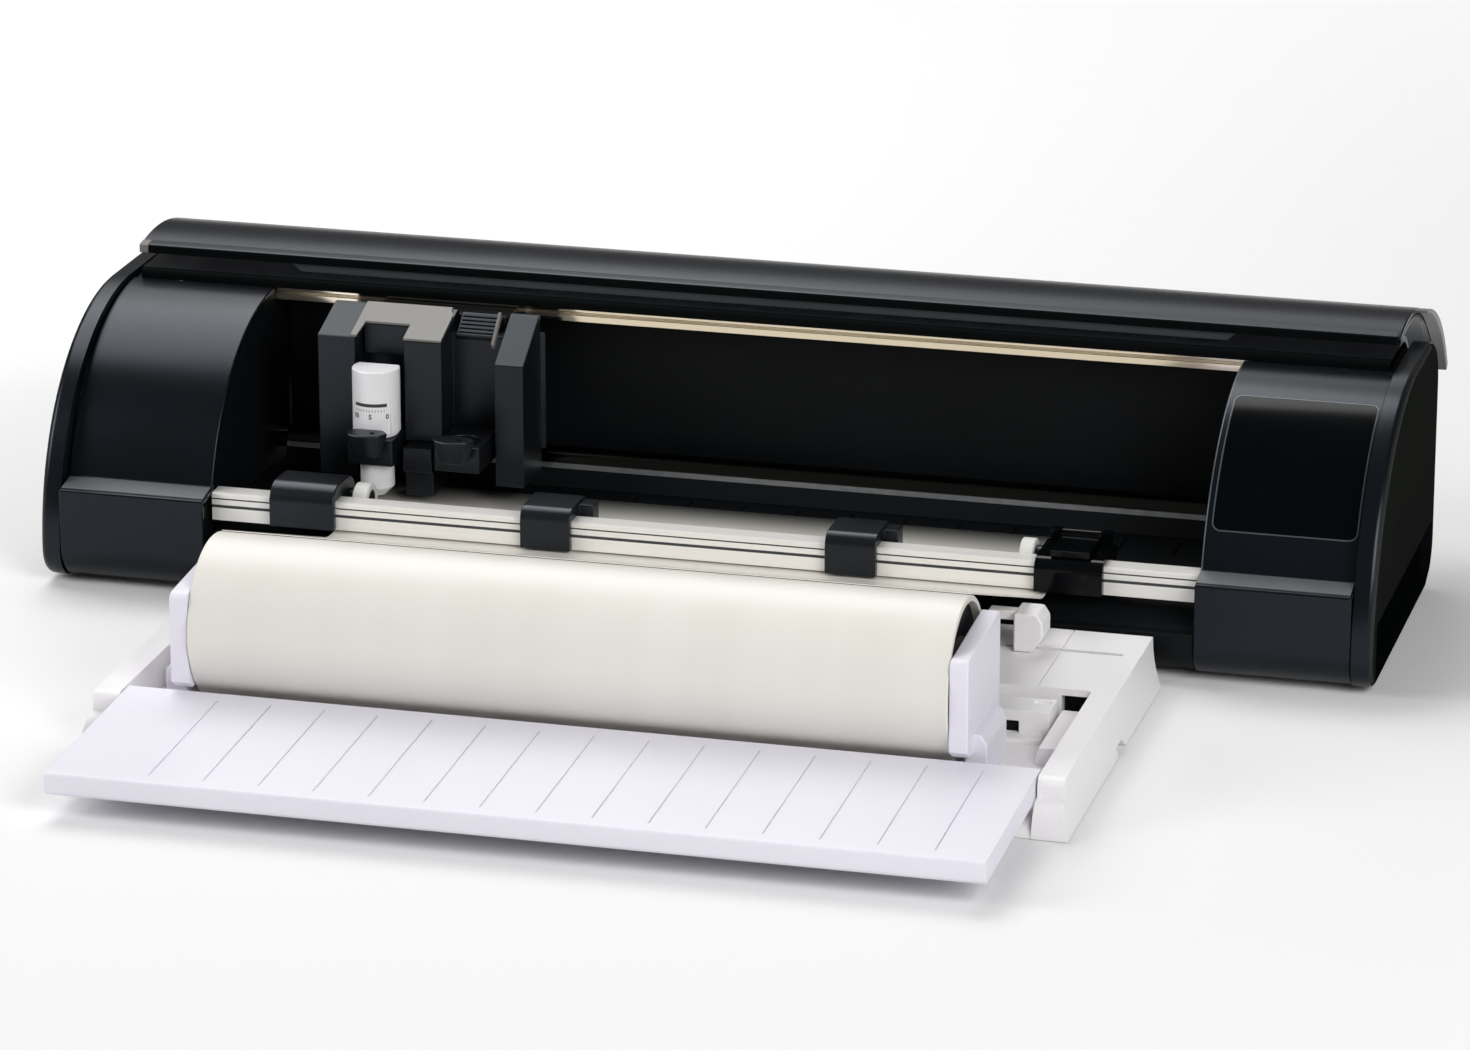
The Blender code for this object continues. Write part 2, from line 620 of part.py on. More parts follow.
def base_tray():
    front = TOE_ROUND + RUN
    wall = TRAY_BACK - COVER_WALL + RUN
    outline = [(front, TRAY_BOTTOM), (TRAY_BACK, TRAY_BOTTOM), (TRAY_BACK, TRAY_BACK_HEIGHT),
               (wall, TRAY_BACK_HEIGHT), (wall, TRAY_TOP), (front, TRAY_TOP)]
    tray = extruded("base_tray", outline, -FRAME_OUT, FRAME_OUT, SATIN_BLACK)
    for label, side in (("left", -1), ("right", 1)):
        for end, y in (("front", FOOT_FRONT), ("back", FOOT_BACK)):
            foot = rod(0, TRAY_BOTTOM + RUN, FOOT_RADIUS)
            spot = (side * (BODY_HALF - FOOT_INSET), y, 0)
            join(tray, turned("foot_%s_%s" % (label, end), foot, spot, "Z", steps=16, helper=True))


def front_apron():
    ramp_end = ROLLER_Y - ROLLER_RADIUS - RUN
    path = arc((APRON_FACE + TOE_ROUND, PANEL_BOTTOM + TOE_ROUND), TOE_ROUND, TOE_END, -90, 6)
    path += [(APRON_FACE, APRON_TOP), (APRON_FACE + 2 * COVER_WALL, APRON_TOP), (ramp_end, PLATEN_TOP - GAP)]
    extruded("front_apron", walled(path, APRON_WALL), GAP - OPENING_HALF, OPENING_HALF - GAP, GLOSS_BLACK)


# Lid
def lid():
    axis = (LID_AXIS_Y, LID_AXIS_Z)
    centre = (LID_CENTRE_Y, LID_CENTRE_Z)
    inner = LID_RADIUS - LID_WALL
    half = PANEL_IN - RUN
    outline = arc(centre, LID_RADIUS, LID_FRONT_ANGLE, LID_BACK_ANGLE, 24)
    outline += arc(centre, inner, LID_BACK_ANGLE, LID_FRONT_ANGLE, 24)
    extruded("lid_shell", outline, -half, half, GLOSS_BLACK, axis)
    grip_end = LID_FRONT_ANGLE + LID_GRIP_ANGLE
    outline = arc(centre, inner - GAP, LID_FRONT_ANGLE, grip_end, 4)
    outline += arc(centre, inner - GAP - LID_GRIP_DEPTH, grip_end, LID_FRONT_ANGLE, 4)
    reach = OPENING_HALF - LID_GRIP_INSET
    extruded("lid_grip", outline, -reach, reach, GLOSS_BLACK, axis)
    # The rims fill the space between the shell and the tracks on the side frames.
    outline = arc(centre, inner - GAP, LID_FRONT_ANGLE, LID_BACK_ANGLE, 24)
    track = FRAME_ARC + RUN
    front = outline[0]
    back = outline[-1]
    front_turn = atan2(front[0] - axis[0], front[1] - axis[1]) * 180 / pi
    back_turn = atan2(back[0] - axis[0], back[1] - axis[1]) * 180 / pi
    outline += arc(axis, track, back_turn, front_turn, 20)
    for name, side in (("lid_left_rim", -1), ("lid_right_rim", 1)):
        extruded(name, outline, side * (FRAME_IN + GAP), side * (FRAME_OUT - GAP), GLOSS_BLACK, axis)


# Media path
def roller(name, y, z, radius, material):
    face = OPENING_HALF - ROLLER_MARGIN
    end = BULKHEAD_OUT + ROLLER_MARGIN
    profile = [(end, 0), (end, SHAFT_RADIUS), (face, SHAFT_RADIUS), (face, radius),
               (-face, radius), (-face, SHAFT_RADIUS), (-end, SHAFT_RADIUS), (-end, 0)]
    return turned(name, profile, (0, y, z), "X", material, steps=28)


def gear_outline(centre, teeth, phase):
    pitch = GEAR_MODULE * teeth / 2
    tip, root = pitch + GEAR_MODULE * 0.9, pitch - GEAR_MODULE * 1.2
    step = 360 / teeth
    points = []
    for i in range(teeth):
        middle = phase + i * step
        for radius, offset in ((root, -GEAR_ROOT_SHARE), (tip, -GEAR_TIP_SHARE), (tip, GEAR_TIP_SHARE), (root, GEAR_ROOT_SHARE)):
            points += arc(centre, radius, middle + offset * step, middle + offset * step, 1)[:1]
    return points


def feed_train():
    roller("drive_roller", ROLLER_Y, ROLLER_Z, ROLLER_RADIUS, STEEL)
    roller("rear_roller", REAR_ROLLER_Y, REAR_ROLLER_Z, REAR_ROLLER_RADIUS, STEEL)
    axis = (ROLLER_Y, ROLLER_Z)
    near = BULKHEAD_OUT + ROLLER_MARGIN + GAP
    extruded("drive_gear", gear_outline(axis, GEAR_TEETH, 0), near, near + GEAR_WIDTH, SATIN_BLACK, axis)
    axis = (PINION_Y, ROLLER_Z)
    turn = 180 / PINION_TEETH
    extruded("feed_pinion", gear_outline(axis, PINION_TEETH, turn), near, near + GEAR_WIDTH, STEEL, axis)
    half = MOTOR_SIZE / 2
    low = (near + GEAR_WIDTH + GAP, PINION_Y - half, ROLLER_Z - half)
    high = (near + GEAR_WIDTH + GAP + MOTOR_LENGTH, PINION_Y + half, ROLLER_Z + half)
    box("feed_motor", low, high, STEEL, 0.002)


def platen():
    groove = STRIP_WIDTH / 2 + GAP
    top, bottom = PLATEN_TOP, PLATEN_TOP - PLATEN_DEPTH
    seat = top - STRIP_DEPTH
    outline = [(PLATEN_FRONT, bottom), (PLATEN_FRONT, top), (TOOL_Y - groove, top), (TOOL_Y - groove, seat),
               (TOOL_Y + groove, seat), (TOOL_Y + groove, top), (PLATEN_BACK, top), (PLATEN_BACK, bottom)]
    extruded("platen", outline, -SPAN_HALF, SPAN_HALF, SATIN_BLACK)
    strip = STRIP_WIDTH / 2
    low = (-SPAN_HALF, TOOL_Y - strip, seat + GAP)
    box("cutting_strip", low, (SPAN_HALF, TOOL_Y + strip, top), LABEL_GREY)


def fixed_beams():
    groove_low = (BAR_BOTTOM + BAR_TOP - BAR_GROOVE) / 2
    groove_back = BAR_FRONT + BAR_GROOVE_DEPTH
    outline = [(BAR_FRONT, BAR_BOTTOM), (BAR_FRONT, groove_low), (groove_back, groove_low),
               (groove_back, groove_low + BAR_GROOVE), (BAR_FRONT, groove_low + BAR_GROOVE),
               (BAR_FRONT, BAR_TOP), (BAR_BACK, BAR_TOP), (BAR_BACK, BAR_BOTTOM)]
    extruded("front_bar", outline, GAP - OPENING_HALF, OPENING_HALF - GAP, ALUMINIUM)
    high = (SPAN_HALF, RAIL_FRONT + RAIL_DEPTH, RAIL_BOTTOM + RAIL_HEIGHT)
    box("carriage_rail", (-SPAN_HALF, RAIL_FRONT, RAIL_BOTTOM), high, ALUMINIUM)
    top = REAR_COVER_TOP - COVER_WALL - GAP
    high = (SPAN_HALF, BACK_WALL_Y + BACK_WALL_PLATE, top)
    box("back_wall", (-SPAN_HALF, BACK_WALL_Y, BACK_WALL_BOTTOM), high, SATIN_BLACK)


# Pinch units on the front bar
def saddle(name, x, width, top, back):
    low, rear_low = BAR_BOTTOM + GAP, MEDIA_TOP + 5 * RUN
    front = BAR_FRONT - GAP - SADDLE_WALL
    outline = rounded([(front, low, 0), (front, top, 0.007), (back, top, 0.003), (back, rear_low, 0),
                       (BAR_BACK + GAP, rear_low, 0), (BAR_BACK + GAP, BAR_TOP + GAP, 0),
                       (BAR_FRONT - GAP, BAR_TOP + GAP, 0), (BAR_FRONT - GAP, low, 0)], steps=4)
    return extruded(name, outline, x - width / 2, x + width / 2, GLOSS_BLACK)


def pinch_wheel(name, housing, x, side):
    # The wheel turns on a stub axle that runs into the side of its housing.
    face = x + side * (PINCH_HOUSING_WIDTH / 2 + RUN)
    along = [(PINCH_WIDTH, 0), (PINCH_WIDTH, PINCH_RADIUS), (0, PINCH_RADIUS), (0, PINCH_AXLE),
             (-PINCH_AXLE_LENGTH, PINCH_AXLE), (-PINCH_AXLE_LENGTH, 0)]
    if side < 0:
        along = [(-far, radius) for far, radius in reversed(along)]
    turned(name, along, (face, PINCH_Y, PINCH_Z), "X", TOOL_WHITE, steps=24)
    depth = PINCH_AXLE_LENGTH + RUN
    near, far = sorted((side * RUN, -side * depth))
    cut(housing, hole(name + "_bore", (face, PINCH_Y, PINCH_Z), "X", near, far, PINCH_AXLE + GAP))


def pinch_lever(housing):
    half = LEVER_WIDTH / 2
    pivot = (SADDLE_BACK - LEVER_BARREL + GAP, RIGHT_SADDLE_TOP + GAP + LEVER_BARREL)
    outer = half + RUN + LEVER_EAR
    barrel_end = half + RUN + LEVER_EAR * 0.7
    profile = [(barrel_end, 0), (barrel_end, LEVER_PIN), (half, LEVER_PIN), (half, LEVER_BARREL),
               (-half, LEVER_BARREL), (-half, LEVER_PIN), (-barrel_end, LEVER_PIN), (-barrel_end, 0)]
    lever = turned("pinch_lever", profile, (RIGHT_PINCH_X, *pivot), "X", GLOSS_BLACK, steps=16)
    low = (RIGHT_PINCH_X - half, BAR_FRONT, RIGHT_SADDLE_TOP + GAP)
    high = (RIGHT_PINCH_X + half, pivot[0], RIGHT_SADDLE_TOP + GAP + LEVER_PLATE)
    join(lever, box("pinch_lever_plate", low, high, helper=True))
    for label, side in (("left", -1), ("right", 1)):
        near, far = sorted((RIGHT_PINCH_X + side * (half + RUN), RIGHT_PINCH_X + side * outer))
        low = (near, pivot[0] - LEVER_BARREL, RIGHT_SADDLE_TOP - 2 * LEVER_BARREL)
        high = (far, pivot[0] + LEVER_BARREL - GAP, pivot[1] + LEVER_BARREL)
        join(housing, box("pinch_ear_" + label, low, high, helper=True))
    reach = outer + RUN
    cut(housing, hole("pinch_ear_bore", (RIGHT_PINCH_X, *pivot), "X", -reach, reach, LEVER_PIN + GAP))


def pinch_units():
    left = saddle("left_pinch_housing", LEFT_PINCH_X, PINCH_HOUSING_WIDTH, SADDLE_TOP, SADDLE_BACK)
    pinch_wheel("left_pinch_wheel", left, LEFT_PINCH_X, 1)
    right = saddle("right_pinch_housing", RIGHT_PINCH_X, PINCH_HOUSING_WIDTH, RIGHT_SADDLE_TOP, SADDLE_BACK)
    pinch_wheel("right_pinch_wheel", right, RIGHT_PINCH_X, -1)
    pinch_lever(right)
    for i, x in enumerate(CLIP_X):
        clip = saddle("media_clip_%d" % (i + 1), x, CLIP_WIDTH, CLIP_TOP, CLIP_BACK)
        edge = x + CLIP_WIDTH / 2
        low = (edge - CLIP_TONGUE, BAR_BACK + 3 * RUN, MEDIA_TOP + 7 * RUN)
        high = (edge + CLIP_TONGUE, CLIP_BACK - 4 * RUN, CLIP_TOP - 3 * RUN)
        join(clip, box("media_clip_tongue_%d" % (i + 1), low, high, helper=True))


# Carriage
def pillar(name, x, front_top, bottom):
    tail = CARRIAGE_BACK - 2 * RUN
    outline = [(CARRIAGE_FRONT, bottom), (CARRIAGE_FRONT, front_top), (PILLAR_SLOPE_END, PILLAR_TOP_BACK),
               (tail, PILLAR_TOP_BACK), (tail, bottom)]
    return extruded(name, outline, x, x + PILLAR_WIDTH, helper=True)


def carriage():
    low = (CARRIAGE_LEFT + 2 * RUN, CARRIAGE_BLOCK, HOLDER_BOTTOM - GAP)
    high = (CARRIAGE_RIGHT - 2 * RUN, CARRIAGE_BACK, PILLAR_TOP_FRONT)
    body = box("carriage_body", low, high, CHARCOAL)
    step = PILLAR_WIDTH + BAY_WIDTH
    join(body, pillar("pillar_left", CARRIAGE_LEFT, PILLAR_TOP_FRONT, CARRIAGE_BOTTOM))
    join(body, pillar("pillar_middle", CARRIAGE_LEFT + step, PILLAR_TOP_FRONT, SENSOR_TOP + GAP))
    join(body, pillar("pillar_right", CARRIAGE_LEFT + 2 * step, RIGHT_PILLAR_TOP_FRONT, CARRIAGE_BOTTOM))
    rail_back = RAIL_FRONT + RAIL_DEPTH
    root, top, shelf = CARRIAGE_BACK - 2 * RUN, REAR_COVER_LIP - RUN, RAIL_BOTTOM - GAP
    outline = [(root, SLIDER_BOTTOM), (CARRIAGE_TAIL, SLIDER_BOTTOM), (CARRIAGE_TAIL, top),
               (rail_back + GAP, top), (rail_back + GAP, shelf), (RAIL_FRONT - GAP, shelf),
               (RAIL_FRONT - GAP, top), (root, top)]
    half = SLIDER_WIDTH / 2
    join(body, extruded("carriage_slider", outline, CARRIAGE_MIDDLE - half, CARRIAGE_MIDDLE + half, helper=True))
    # The label plate lies on the sloped tops of the first bay and the middle pillar.
    rise, run = PILLAR_TOP_BACK - PILLAR_TOP_FRONT, PILLAR_SLOPE_END - CARRIAGE_FRONT
    length = hypot(rise, run)
    normal = (-rise / length, run / length)
    ends = [(CARRIAGE_FRONT, PILLAR_TOP_FRONT), (PILLAR_SLOPE_END, PILLAR_TOP_BACK)]
    lower = [(y + GAP * normal[0], z + GAP * normal[1]) for y, z in ends]
    upper = [(y + LABEL_PLATE * normal[0], z + LABEL_PLATE * normal[1]) for y, z in reversed(lower)]
    left = CARRIAGE_LEFT + PILLAR_WIDTH
    plate = extruded("label_plate", lower + upper, left, left + step, LABEL_GREY)
    low = (left + RUN, CARRIAGE_FRONT - LABEL_NOTCH, HOLDER_TOP)
    high = (left + BAY_WIDTH - RUN, CARRIAGE_FRONT + LABEL_NOTCH, PILLAR_TOP_BACK + LABEL_NOTCH)
    cut(plate, box("label_notch", low, high, helper=True))


def tool_holder(number, x):
    half = BAY_WIDTH / 2 - HOLDER_SIDE
    low = (x - half, HOLDER_FRONT, HOLDER_BOTTOM)
    holder = box("tool_holder_%d" % number, low, (x + half, CARRIAGE_BLOCK - RUN, HOLDER_TOP), SATIN_BLACK)
    reach = HOLDER_TOP - HOLDER_BOTTOM
    cut(holder, hole("tool_bore_%d" % number, (x, TOOL_Y, HOLDER_BOTTOM), "Z", -reach, 2 * reach, TOOL_SHAFT + GAP))
    # The lock tab is a thumb lever with a rounded top edge in front of its holder.
    back = HOLDER_FRONT - GAP
    front, top = back - TAB_DEPTH, TAB_BOTTOM + TAB_HEIGHT
    outline = rounded([(front, TAB_BOTTOM, 0), (front, top, TAB_ROUND), (back, top, 0), (back, TAB_BOTTOM, 0)], steps=4)
    extruded("lock_tab_%d" % number, outline, x - TAB_WIDTH / 2, x + TAB_WIDTH / 2, GLOSS_BLACK)


def cutting_tool():
    collar = TOOL_CAP_BOTTOM - GAP
    seat = HOLDER_TOP + GAP
    tip = TOOL_SHAFT * 0.45
    profile = [(collar, 0), (collar, TOOL_CAP_RADIUS - 2 * RUN), (seat, TOOL_CAP_RADIUS - 2 * RUN),
               (seat, TOOL_SHAFT), (TOOL_BOTTOM + TOOL_SHAFT - tip, TOOL_SHAFT), (TOOL_BOTTOM, tip), (TOOL_BOTTOM, 0)]
    turned("tool_body", profile, (TOOL_1_X, TOOL_Y, 0), "Z", TOOL_WHITE, steps=28)
    edge = 0.0015
    profile = [(TOOL_CAP_TOP, 0), (TOOL_CAP_TOP, TOOL_CAP_RADIUS - edge), (TOOL_CAP_TOP - edge, TOOL_CAP_RADIUS),
               (TOOL_CAP_BOTTOM, TOOL_CAP_RADIUS), (TOOL_CAP_BOTTOM, 0)]
    cap = turned("depth_cap", profile, (TOOL_1_X, TOOL_Y, 0), "Z", TOOL_WHITE, steps=32)
    low = (TOOL_1_X - 2 * TOOL_CAP_RADIUS, TOOL_Y + TOOL_CAP_FLAT, TOOL_CAP_BOTTOM - edge)
    high = (TOOL_1_X + 2 * TOOL_CAP_RADIUS, TOOL_Y + 2 * TOOL_CAP_RADIUS, TOOL_CAP_TOP + edge)
    cut(cap, box("depth_cap_flat", low, high, helper=True))


def sensor():
    x = TOOL_1_X + (BAY_WIDTH + PILLAR_WIDTH) / 2
    half = SENSOR_WIDTH / 2
    back = CARRIAGE_BLOCK - RUN
    upper = box("sensor_housing", (x - half, SENSOR_FRONT, SENSOR_STEP), (x + half, back, SENSOR_TOP), SATIN_BLACK)
    low = (x - half + RUN, SENSOR_FRONT + 8 * RUN, SENSOR_BOTTOM)
    high = (x + half - RUN, back - 8 * RUN, SENSOR_STEP + RUN)
    join(upper, box("sensor_snout", low, high, helper=True))


# Carriage drive
def carriage_drive():
    outer = PULLEY_RADIUS + GAP + BELT_THICKNESS
    inner = PULLEY_RADIUS + GAP
    loops = []
    for radius in (outer, inner):
        loop = arc((PULLEY_X, PULLEY_Y), radius, 0, 180, 12)
        loops.append(loop + arc((-PULLEY_X, PULLEY_Y), radius, 180, 360, 12))
    mesh = slab(loops, BELT_HEIGHT)
    place("carriage_belt", mesh, RUBBER, (0, 0, BELT_BOTTOM + BELT_HEIGHT / 2))
    top = BELT_BOTTOM + BELT_HEIGHT
    lip = GAP + PULLEY_FLANGE
    foot = MOTOR_TOP + GAP
    profile = [(top + lip, 0), (top + lip, PULLEY_FLANGE_RADIUS), (top + GAP, PULLEY_FLANGE_RADIUS),
               (top + GAP, PULLEY_RADIUS), (BELT_BOTTOM - GAP, PULLEY_RADIUS),
               (BELT_BOTTOM - GAP, PULLEY_FLANGE_RADIUS), (foot, PULLEY_FLANGE_RADIUS), (foot, 0)]
    turned("belt_drive_pulley", profile, (-PULLEY_X, PULLEY_Y, 0), "Z", STEEL, steps=20)
    turned("belt_idler_pulley", profile, (PULLEY_X, PULLEY_Y, 0), "Z", STEEL, steps=20)
    half = MOTOR_SIZE / 2
    low = (-PULLEY_X - half, PULLEY_Y - half, MOTOR_TOP - MOTOR_LENGTH)
    box("carriage_motor", low, (-PULLEY_X + half, PULLEY_Y + half, MOTOR_TOP), STEEL, 0.002)
    low = (PULLEY_X - half, PULLEY_Y - half / 2, MOTOR_TOP - IDLER_BRACKET_HEIGHT)
    box("idler_bracket", low, (PULLEY_X + half / 2, PULLEY_Y + half / 2, MOTOR_TOP), STEEL)


# Roll feeder
def feeder_base():
    # A round nose stands in front of each rail, below the hinge of the flap.
    corners = [(NOSE_FRONT, 0, 0), (NOSE_FRONT, NOSE_TOP, NOSE_ROUND), (FEEDER_FRONT, NOSE_TOP, 0),
               (FEEDER_FRONT, FEEDER_TOP, FEEDER_ROUND), (FEEDER_BACK, FEEDER_TOP, 0), (FEEDER_BACK, 0, 0)]
    base = extruded("feeder_base", rounded(corners), -FEEDER_HALF, FEEDER_HALF, FEEDER_WHITE)
    low = (-BAY_HALF, NOSE_FRONT - FEEDER_ROUND, FEEDER_FLOOR)
    cut(base, box("roll_bay", low, (BAY_HALF, BAY_BACK, FEEDER_TOP + FEEDER_ROUND), helper=True))
    half = SLOT_WIDTH / 2
    low = (SLOT_LEFT, SLOT_Y - half, FEEDER_TOP - SLOT_DEPTH)
    cut(base, box("cutter_slot", low, (SLOT_RIGHT, SLOT_Y + half, FEEDER_TOP + SLOT_DEPTH), helper=True))
    reach = BAY_HALF + FLAP_PIN_LENGTH + RUN
    cut(base, hole("flap_bore", (0, FLAP_AXIS_Y, FLAP_AXIS_Z), "X", -reach, reach, FLAP_PIN + GAP))
    # Two tongues hook the feeder to the front of the machine.
    for label, side in (("left", -1), ("right", 1)):
        x = side * TONGUE_X
        low = (x - TONGUE_WIDTH / 2, FEEDER_BACK - 2 * TONGUE_HEIGHT, TONGUE_BOTTOM)
        high = (x + TONGUE_WIDTH / 2, APRON_FACE - GAP, TONGUE_BOTTOM + TONGUE_HEIGHT)
        join(base, box("dock_tongue_" + label, low, high, helper=True))
    half = GUIDE_RAIL_WIDTH / 2
    low = (-BAY_HALF + GAP, GUIDE_RAIL_Y - half, FEEDER_FLOOR + GAP)
    box("guide_rail", low, (BAY_HALF - GAP, GUIDE_RAIL_Y + half, GUIDE_RAIL_TOP), FEEDER_WHITE)


def feeder_flap():
    corners = [(FLAP_BACK, FEEDER_TOP, 0.001), (FLAP_FRONT, FLAP_FRONT_TOP, 0.002),
               (FLAP_FRONT, FLAP_FRONT_TOP - FLAP_THICKNESS, 0.003), (FLAP_BACK, FEEDER_TOP - FLAP_THICKNESS, 0.003)]
    axis = (FLAP_AXIS_Y, FLAP_AXIS_Z)
    half = BAY_HALF - 2 * RUN
    flap = extruded("feeder_flap", rounded(corners, steps=3), -half, half, FEEDER_WHITE, axis)
    reach = BAY_HALF + FLAP_PIN_LENGTH
    join(flap, hole("flap_pin", (0, *axis), "X", -reach, reach, FLAP_PIN))


def roll_guide(name, face, side):
    near, far = sorted((face, face + side * GUIDE_THICKNESS))
    guide = box(name, (near, GUIDE_FRONT, GUIDE_BOTTOM), (far, GUIDE_BACK, GUIDE_TOP), FEEDER_WHITE)
    near, far = sorted((face + side * RUN, face + side * (GUIDE_THICKNESS + GUIDE_FOOT_WIDTH)))
    low = (near, GUIDE_FOOT_FRONT, GUIDE_RAIL_TOP + GAP)
    join(guide, box(name + "_foot", low, (far, GUIDE_FOOT_BACK, GUIDE_FOOT_TOP), helper=True))
    near, far = sorted((side * RUN, -side * HUB_LENGTH))
    join(guide, hole(name + "_hub", (face, ROLL_Y, ROLL_Z), "X", near, far, CORE_BORE - GAP))


def media():
    for name, outer, inner, material in (("media_roll", ROLL_RADIUS, CORE_RADIUS + GAP, PAPER),
                                         ("roll_core", CORE_RADIUS, CORE_BORE, CARDBOARD)):
        half = ROLL_LENGTH / 2
        profile = [(half, outer), (-half, outer), (-half, inner), (half, inner)]
        turned(name, profile, (ROLL_X, ROLL_Y, ROLL_Z), "X", material, steps=40, ring=True)
    # The web leaves the top of the roll along its tangent and levels out at the machine.
    clear = ROLL_RADIUS + GAP + MEDIA_THICKNESS
    across, down = MEDIA_ENTRY - ROLL_Y, ROLL_Z - MEDIA_TOP
    slope = atan2(down, across) + asin(clear / hypot(across, down))
    start = (ROLL_Y + clear * sin(slope), ROLL_Z + clear * cos(slope))
    path = rounded([(*start, 0), (MEDIA_ENTRY, MEDIA_TOP, MEDIA_BEND), (MEDIA_END, MEDIA_TOP, 0)], closed=False)
    extruded("media_web", walled(path, MEDIA_THICKNESS), ROLL_LEFT + RUN, ROLL_RIGHT - RUN, PAPER)


def cross_cutter():
    half, depth = CUTTER_WIDTH / 2, CUTTER_DEPTH / 2
    low = (CUTTER_X - half, SLOT_Y - depth, FEEDER_TOP + GAP)
    cutter = box("cross_cutter", low, (CUTTER_X + half, SLOT_Y + depth, CUTTER_TOP), FEEDER_WHITE)
    keel = SLOT_WIDTH / 2 - GAP
    low = (CUTTER_X - half + RUN, SLOT_Y - keel, FEEDER_TOP - SLOT_DEPTH + GAP)
    join(cutter, box("cutter_keel", low, (CUTTER_X + half - RUN, SLOT_Y + keel, FEEDER_TOP + 2 * RUN), helper=True))


end_panel("left_end_panel", -1)
end_panel("right_end_panel", 1)
side_frame("left_side_frame", -1)
side_frame("right_side_frame", 1)
bulkhead("left_bulkhead", -1)
bulkhead("right_bulkhead", 1)
cover("left_cover", -1)
touch_panel(cover("right_cover", 1))
rear_cover()
base_tray()
front_apron()
lid()
feed_train()
platen()
fixed_beams()
pinch_units()
carriage()
tool_holder(1, TOOL_1_X)
tool_holder(2, TOOL_2_X)
cutting_tool()
sensor()
carriage_drive()
feeder_base()
feeder_flap()
roll_guide("left_roll_guide", ROLL_LEFT - GAP, -1)
roll_guide("right_roll_guide", ROLL_RIGHT + GAP, 1)
media()
cross_cutter()
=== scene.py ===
import json
from math import atan2, cos, pi, radians, sin

import bmesh
import bpy
from mathutils import Matrix, Vector


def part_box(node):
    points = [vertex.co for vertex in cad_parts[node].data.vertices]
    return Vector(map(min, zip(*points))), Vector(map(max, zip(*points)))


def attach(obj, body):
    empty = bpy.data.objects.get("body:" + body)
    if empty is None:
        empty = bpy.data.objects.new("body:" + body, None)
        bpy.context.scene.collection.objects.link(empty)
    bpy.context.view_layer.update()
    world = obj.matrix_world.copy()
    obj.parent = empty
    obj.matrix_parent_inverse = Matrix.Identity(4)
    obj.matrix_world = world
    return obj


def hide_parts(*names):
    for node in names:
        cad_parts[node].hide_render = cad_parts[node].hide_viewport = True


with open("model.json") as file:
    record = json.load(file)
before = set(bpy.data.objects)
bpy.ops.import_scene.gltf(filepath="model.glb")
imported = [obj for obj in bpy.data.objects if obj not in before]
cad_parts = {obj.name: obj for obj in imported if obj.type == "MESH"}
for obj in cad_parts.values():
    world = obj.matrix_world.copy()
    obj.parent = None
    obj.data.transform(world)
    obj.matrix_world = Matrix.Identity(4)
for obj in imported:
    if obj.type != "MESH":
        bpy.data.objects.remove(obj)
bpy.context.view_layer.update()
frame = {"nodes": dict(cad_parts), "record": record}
nodes = frame["nodes"]
scene = bpy.context.scene
scene.view_settings.view_transform = "Standard"
mm = 0.001
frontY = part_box("left_cover")[0].y  # the machine's front face, from which depths are measured
bodyOf = {n: body for body, group in frame["record"]["behaviour"]["bodies"].items() for n in group}
sides = ((-1, "left"), (1, "right"))
print("frame loaded:", len(nodes), "nodes")


def at(x, y, z):
    # millimetres from the middle of the machine's front edge
    return Vector((x * mm, y * mm + frontY, z * mm))


def linear(hexColour):
    parts = [int(hexColour[i:i + 2], 16) / 255 for i in (1, 3, 5)]
    return tuple(c / 12.92 if c <= 0.04045 else ((c + 0.055) / 1.055) ** 2.4 for c in parts) + (1.0,)


def wire(tree, node, values=None, feeds=None):
    # a feed is a socket, a node whose first output is meant, or the name of a group's input
    for key, value in (values or {}).items():
        if isinstance(key, str) and hasattr(node, key):
            setattr(node, key, value)
        else:
            node.inputs[key].default_value = value
    for key, source in (feeds or {}).items():
        if isinstance(source, str):
            source = tree.nodes["Group Input"].outputs[source]
        elif isinstance(source, bpy.types.Node):
            source = source.outputs[0]
        tree.links.new(source, node.inputs[key])
    return node


def addNode(tree, kind, values=None, feeds=None):
    return wire(tree, tree.nodes.new(kind), values, feeds)


def freshMaterial(name):
    material = bpy.data.materials.new(name)
    material.use_nodes = True
    return material, material.node_tree, material.node_tree.nodes["Principled BSDF"]


def mixed(tree, first, second, share):
    tones = {"data_type": "RGBA", 6: linear(first), 7: linear(second)}
    return addNode(tree, "ShaderNodeMix", tones, {0: share}).outputs[2]


def relief(tree, height, strength, source):
    return addNode(tree, "ShaderNodeBump", {"Strength": strength, "Distance": height * mm}, {"Height": source})


